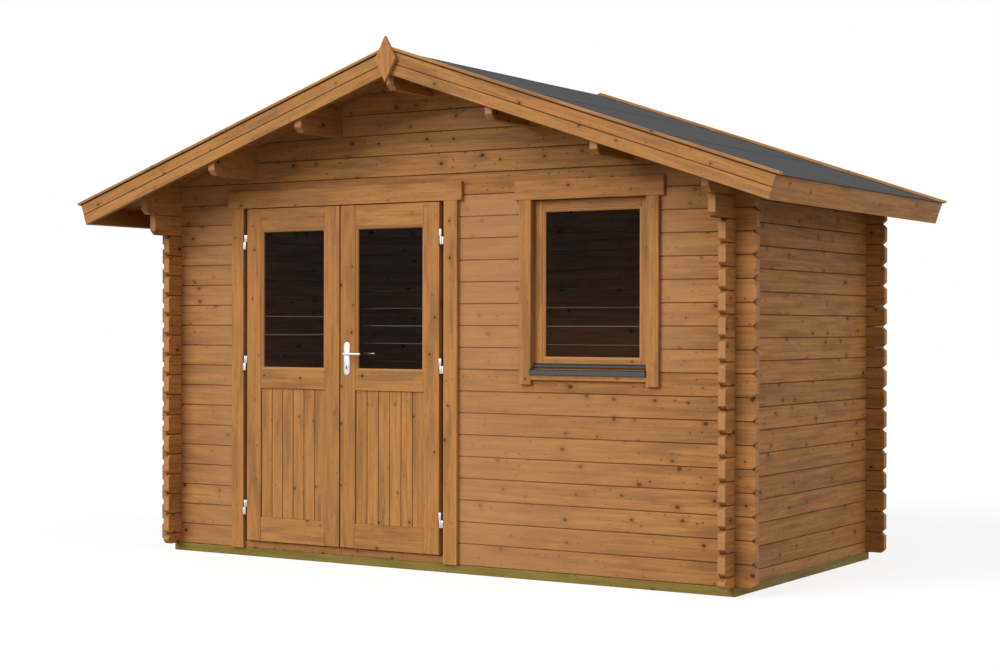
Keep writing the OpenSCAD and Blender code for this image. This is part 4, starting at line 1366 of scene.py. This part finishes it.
class CABIN_OT_doors(CabinStep, bpy.types.Operator):
    """Both door leaves: stiles, rails, boarded panel, glazing beads and glass"""
    bl_idname = "log_cabin.doors"
    bl_label = "Doors"

    def make(self, context):
        for side, name in ((-1, "left"), (1, "right")):
            self.leaf(side, name)

    def leaf(self, side, name):
        """One leaf, its pieces placed from the frame's, panel's and glass's boxes."""
        low, high = corners(f"{name}_door_frame")
        panel_low, panel_high = corners(f"{name}_door_panel")
        glass_low, glass_high = corners(f"{name}_door_glass")
        rebate = 0.008
        stile = glass_low[0] + rebate - low[0]
        y0, y1 = low[1], high[1]
        body = f"{name}_door"
        x0, x1 = low[0], high[0]
        rails = ((low[2], panel_low[2] + rebate), (panel_high[2] - rebate, glass_low[2] + rebate),
                 (glass_high[2] - rebate, high[2]))
        leaf = Shells(f"{name}_leaf_timbers")
        leaf.plank([x0, y0, low[2]], [x0 + stile - SLACK / 2, y1, high[2]], 2, 0.0028)
        leaf.plank([x1 - stile + SLACK / 2, y0, low[2]], [x1, y1, high[2]], 2, 0.0028)
        for z0, z1 in rails:
            leaf.plank([x0 + stile + SLACK / 2, y0 + SLACK, z0], [x1 - stile - SLACK / 2, y1 - SLACK, z1], 0, 0.0022)
        leaf.build(trim_finish(), "stained_wood", body, f"{name}_door_frame")
        boards = Shells(f"{name}_leaf_boards")
        count = CABIN().fittings.panel_boards
        open_low, open_high = x0 + stile + SLACK, x1 - stile - SLACK
        width = (open_high - open_low) / count
        for i in range(count):
            boards.plank([open_low + i * width + SLACK, panel_low[1], panel_low[2] + rebate + SLACK],
                         [open_low + (i + 1) * width - SLACK, panel_high[1], panel_high[2] - rebate - SLACK], 2,
                         0.001, (0.0028, 0.001))
        boards.build(trim_finish(), "stained_wood", body, f"{name}_door_panel")
        beads = Shells(f"{name}_leaf_beads")
        bead_frame(beads, [open_low, glass_low[2] + rebate + SLACK], [open_high, glass_high[2] - rebate - SLACK],
                   glass_low[1] - SLACK, y0 + 0.004)
        bead_frame(beads, [open_low, glass_low[2] + rebate + SLACK], [open_high, glass_high[2] - rebate - SLACK],
                   glass_high[1] + SLACK, y1 - 0.006)
        beads.build(trim_finish(), "stained_wood", body)
        glaze(f"{name}_door_glass")


def bead_frame(shells, low, high, y_glass, y_edge):
    """Four glazing beads round a pane: each a board whose edge towards the glass's middle slopes back.

    low and high are the pane's corners in x and z. The bead lies from the glass to y_edge.
    """
    width = CABIN().fittings.bead
    way = 1 if y_edge > y_glass else -1
    depth = abs(y_edge - y_glass)
    (x0, z0), (x1, z1) = low, high
    profile = np.array([[0, 0], [width, 0], [width, depth * 0.35], [width * 0.35, depth], [0, depth]])
    # The bead's corner against the frame gets half the groove depth, which the timber material darkens as painted
    # shade.
    deep = np.array([0, 0, 0, 0, 0.5])
    runs = (([x0, y_glass, z0], X, Z, x1 - x0), ([x0, y_glass, z1], X, -Z, x1 - x0),
            ([x0, y_glass, z0], Z, X, z1 - z0), ([x1, y_glass, z0], Z, -X, z1 - z0))
    for place, ahead, inward, run in runs:
        rows = [[0, 0, width, 0], [run, 0, width, 0]]
        shells.timber((profile, deep), rows, np.array(place), (ahead, inward, way * Y), 0.55,
                      lean=(-1 + SLACK, 1 - SLACK))


def glaze(node):
    """Gives a pane of the frame its finish."""
    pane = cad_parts[node]
    pane.data.materials.clear()
    pane.data.materials.append(glass_finish())


class CABIN_OT_hinges(CabinStep, bpy.types.Operator):
    """Hinges: fixed barrels and pins on the posts, and knuckles on the leaves"""
    bl_idname = "log_cabin.hinges"
    bl_label = "Hinges"

    def make(self, context):
        low, high = corners("hinge_barrels")
        finish = steel_finish()
        fixed = Shells("hinge_pins")
        for side, name in ((-1, "left"), (1, "right")):
            part_low, part_high = corners(f"{name}_hinge_knuckles")
            leaf_low, leaf_high = corners(f"{name}_door_frame")
            radius = 0.006
            axis_x = part_high[0] - radius if side > 0 else part_low[0] + radius
            axis_y = part_low[1] + radius
            tall = 0.041
            span = part_high[2] - part_low[2]
            moving = Shells(f"{name}_hinge_leaves")
            for z in (low[2] + tall, None, part_high[2] - tall):
                z = self.middle_height() if z is None else z
                self.barrel(fixed, axis_x, axis_y, z - tall, z, radius)
                self.barrel(moving, axis_x, axis_y, z + 0.0005, z + tall, radius)
                post = high[0] if side > 0 else low[0]
                edge = leaf_high[0] if side > 0 else leaf_low[0]
                fixed.plank([axis_x + side * 0.004, axis_y, z - tall + 0.001], [post, axis_y + 0.003, z - 0.001], 2,
                            0.0006)
                moving.plank([edge, axis_y, z + 0.0015], [axis_x - side * 0.004, axis_y + 0.003, z + tall - 0.001],
                             2, 0.0006)
            moving.build(finish, "steel", f"{name}_door", f"{name}_hinge_knuckles", smooth=38)
        fixed.build(finish, "steel", "cabin", "hinge_barrels", smooth=38)

    def middle_height(self):
        """Height of the middle hinges, which the record's joints don't tell: the mid rail's upper part."""
        low, high = corners("right_door_frame")
        return low[2] + 1.004

    def barrel(self, shells, x, y, z0, z1, radius):
        """A barrel with rounded ends, turned about the hinge's axis."""
        soft = 0.0016
        profile = [(0, 0), (radius - soft, 0), (radius - 0.3 * soft, 0.3 * soft), (radius, soft),
                   (radius, z1 - z0 - soft), (radius - 0.3 * soft, z1 - z0 - 0.3 * soft),
                   (radius - soft, z1 - z0), (0, z1 - z0)]
        turned(shells, profile, np.array([x, y, z0]), Z, 20)


class CABIN_OT_handle(CabinStep, bpy.types.Operator):
    """Handle plates with screws and keyhole, and the levers on their spindle"""
    bl_idname = "log_cabin.handle"
    bl_label = "Handle"

    def make(self, context):
        low, high = corners("handle_plates")
        lever_low, lever_high = corners("door_lever")
        leaf_low, leaf_high = corners("right_door_frame")
        x = (low[0] + high[0]) / 2
        radius = 0.0075
        z = (lever_low[2] + lever_high[2]) / 2
        plates = Shells("handle_plates_and_screws")
        details = Shells("keyholes")
        half = (high[0] - low[0]) / 2
        arc = np.radians(np.arange(0, 181, 15))
        cap = np.stack([np.cos(arc), np.sin(arc)], 1) * half
        outline = np.concatenate([cap + [x, high[2] - half], -cap + [x, low[2] + half]])
        for back, front, way in ((leaf_low[1], low[1], -1), (leaf_high[1], high[1], 1)):
            plate(plates, outline[::-1], back, front, 0.0018)
            axis = way * Y
            face = np.array([x, front, 0])
            for screw_z in (low[2] + 0.014, high[2] - 0.014):
                turned(plates, [(0, -0.001), (0.0042, -0.001), (0.0042, 0.0002), (0.003, 0.0010), (0, 0.0013)],
                       face + screw_z * Z, axis, 16)
                # Each screw slot is a thin flat dark strip across the screw head: painted shade for the slot.
                details.plank(face + [-0.0030, way * 0.0012, screw_z - 0.0004],
                              face + [0.0030, way * 0.0016, screw_z + 0.0004], 0, 0.0001)
            key = face + (z - 0.072) * Z
            turned(plates, [(0, -0.001), (0.0098, -0.001), (0.0098, 0.0006), (0.0088, 0.0014), (0, 0.0014)],
                   key, axis, 24)
            # The keyhole is a flat dark disc and slot laid on the plate: painted shade for the hole.
            turned(details, [(0, 0.001), (0.0046, 0.001), (0.0046, 0.0018), (0, 0.0018)], key, axis, 16)
            details.plank(key + [-0.0018, way * 0.001, -0.0125], key + [0.0018, way * 0.0018, -0.003], 2, 0.0002)
        plates.build(steel_finish(), "steel", "right_door", "handle_plates", smooth=38)
        details.build(dark_finish(), "dark_metal", "right_door", smooth=38)
        lever = Shells("lever_pair")
        for way, outer, face in ((-1, lever_low[1], low[1]), (1, lever_high[1], high[1])):
            grip_y = outer - way * radius
            self.lever(lever, x, face, grip_y, z, way, lever_high[0] - radius, radius)
            turned(lever, [(0, 0.0003), (0.0125, 0.0003), (0.0125, 0.004), (0.0115, 0.0056), (0.009, 0.006),
                           (0, 0.006)], np.array([x, face, z]), way * Y, 28)
        lever.build(steel_finish(), "steel", "lever", "door_lever", smooth=40)

    def lever(self, shells, x, face, grip_y, z, way, tip, radius):
        """A lever: a round neck out of the plate, a quarter bend, and a grip that ends in a dome.

        The path is a straight line, a quarter circle and a straight line, with the tube's radius
        drawn in at the tip as the root of one minus the square of the way through the dome.
        """
        bend = 0.016
        neck = np.linspace(face, grip_y - way * bend, 4)
        turn = np.radians(np.linspace(0, 90, 12))
        arc_x = x + bend - bend * np.cos(turn)
        arc_y = grip_y - way * bend + way * bend * np.sin(turn)
        run = np.linspace(x + bend, tip, 10)[1:]
        dome = np.linspace(0, 1, 8)[1:]
        path = np.concatenate([
            np.stack([np.full(4, x), neck], 1), np.stack([arc_x, arc_y], 1)[1:],
            np.stack([run, np.full(len(run), grip_y)], 1),
            np.stack([tip + dome * radius, np.full(len(dome), grip_y)], 1)])
        path = np.column_stack([path, np.full(len(path), z)])
        radii = np.full(len(path), radius)
        radii[-len(dome):] = radius * np.sqrt(np.maximum(1 - dome ** 2, 0.0004))
        if way < 0:
            swept(shells, path, radii, 0.92)
        else:
            swept(shells, path, radii, 0.92)


class CABIN_OT_window(CabinStep, bpy.types.Operator):
    """The window: lining, sash, glazing beads, glass, metal sill and drip bar"""
    bl_idname = "log_cabin.window"
    bl_label = "Window"

    def make(self, context):
        low, high = corners("window_frame")
        sash_low, sash_high = corners("window_sash")
        glass_low, glass_high = corners("window_glass")
        thick = sash_low[0] - low[0]
        lining = Shells("window_lining")
        for side, x in ((1, low[0]), (-1, high[0])):
            lining.plank([x, low[1], low[2]], [x + side * (thick - SLACK), high[1], high[2]], 2, 0.0015)
        inner_low, inner_high = low[0] + thick, high[0] - thick
        lining.plank([inner_low, low[1], low[2]], [inner_high, high[1], sash_low[2] - SLACK], 0, 0.0015)
        lining.plank([inner_low, low[1], sash_high[2] + SLACK], [inner_high, high[1], high[2]], 0, 0.0015)
        lining.build(trim_finish(), "stained_wood", "cabin", "window_frame")
        rebate = 0.008
        bar = glass_low[0] + rebate - sash_low[0]
        sash = Shells("sash_bars")
        gap = 0.0015
        x0, x1 = sash_low[0] + gap, sash_high[0] - gap
        z0, z1 = sash_low[2] + gap, sash_high[2] - gap
        sash.plank([x0, sash_low[1], z0], [x0 + bar - SLACK, sash_high[1], z1], 2, 0.003)
        sash.plank([x1 - bar + SLACK, sash_low[1], z0], [x1, sash_high[1], z1], 2, 0.003)
        for low_z, high_z in ((z0, z0 + bar), (z1 - bar, z1)):
            sash.plank([x0 + bar, sash_low[1], low_z], [x1 - bar, sash_high[1], high_z], 0, 0.003)
        sash.build(trim_finish(), "stained_wood", "cabin", "window_sash")
        beads = Shells("window_beads")
        bead_low, bead_high = [x0 + bar, z0 + bar + SLACK], [x1 - bar, z1 - bar - SLACK]
        bead_frame(beads, bead_low, bead_high, glass_low[1] - SLACK, sash_low[1] + 0.003)
        bead_frame(beads, bead_low, bead_high, glass_high[1] + SLACK, sash_high[1] - 0.003)
        beads.build(trim_finish(), "stained_wood", "cabin")
        glaze("window_glass")
        self.metal(sash_low, sash_high)

    def metal(self, sash_low, sash_high):
        """Folded sill with a turned-down lip and end caps, and a drip bar with a sloping top."""
        low, high = corners("window_sill")
        sill = Shells("sill_and_drip_bar")
        cap = 0.004
        x0, x1 = low[0], high[0]
        top, bottom, front, back = sash_low[2], low[2], low[1], high[1]
        profile = np.array([[front, bottom], [front + 0.003, bottom], [front + 0.004, top - 0.011],
                            [back, top - 0.004], [back, top - 0.0005], [front + 0.002, top - 0.006],
                            [front, top - 0.008]])
        self.extrude(sill, profile, x0 + cap, x1 - cap)
        ends = np.array([[front - 0.001, bottom], [back, bottom], [back, top], [front + 0.001, top],
                         [front - 0.001, top - 0.003]])
        self.extrude(sill, ends, x0, x0 + cap)
        self.extrude(sill, ends, x1 - cap, x1)
        face = sash_low[1]
        reach, low_z = 0.018, sash_low[2] + 0.010
        bar = np.array([[face - reach, low_z], [face - SLACK, low_z], [face - SLACK, low_z + 0.018],
                        [face - 0.006, low_z + 0.017], [face - reach, low_z + 0.008]])
        self.extrude(sill, bar, x0 + 0.003, x1 - 0.003)
        sill.build(coated_finish(), "dark_metal", "cabin", "window_sill")

    def extrude(self, shells, profile, x0, x1):
        """A profile in y-z carried along x from x0 to x1."""
        rings = np.stack([np.column_stack([np.full(len(profile), x), profile]) for x in (x0, x1)])
        shells.add(rings.reshape(-1, 3), tube_faces(2, len(profile)))


class CABIN_PT_steps(bpy.types.Panel):
    """Lists the steps that build the cabin"""
    bl_idname = "CABIN_PT_steps"
    bl_label = "Log Cabin"
    bl_space_type = "VIEW_3D"
    bl_region_type = "UI"
    bl_category = "Log Cabin"

    def draw(self, context):
        for step in STEPS:
            self.layout.operator(step.bl_idname)
        for part in ("timber", "roof", "fittings", "stage"):
            group = getattr(context.scene.log_cabin, part)
            box = self.layout.box()
            box.label(text=part.capitalize())
            for name in group.__annotations__:
                box.prop(group, name)


class CabinSettings(bpy.types.PropertyGroup):
    """All sizes and colours of the cabin."""
    timber: PointerProperty(type=CabinTimber)
    roof: PointerProperty(type=CabinRoof)
    fittings: PointerProperty(type=CabinFittings)
    stage: PointerProperty(type=CabinStage)


STEPS = (CABIN_OT_stage, CABIN_OT_base, CABIN_OT_walls, CABIN_OT_purlins, CABIN_OT_roof,
         CABIN_OT_door_frame, CABIN_OT_doors, CABIN_OT_hinges, CABIN_OT_handle, CABIN_OT_window)
CLASSES = (CabinTimber, CabinRoof, CabinFittings, CabinStage, CabinSettings) + STEPS + (CABIN_PT_steps,)


def register():
    for cls in CLASSES:
        bpy.utils.register_class(cls)
    bpy.types.Scene.log_cabin = PointerProperty(type=CabinSettings)


def unregister():
    del bpy.types.Scene.log_cabin
    for cls in reversed(CLASSES):
        bpy.utils.unregister_class(cls)


def main():
    register()
    for step in STEPS:
        group, name = step.bl_idname.split(".")
        getattr(getattr(bpy.ops, group), name)()


if __name__ == "__main__":
    main()
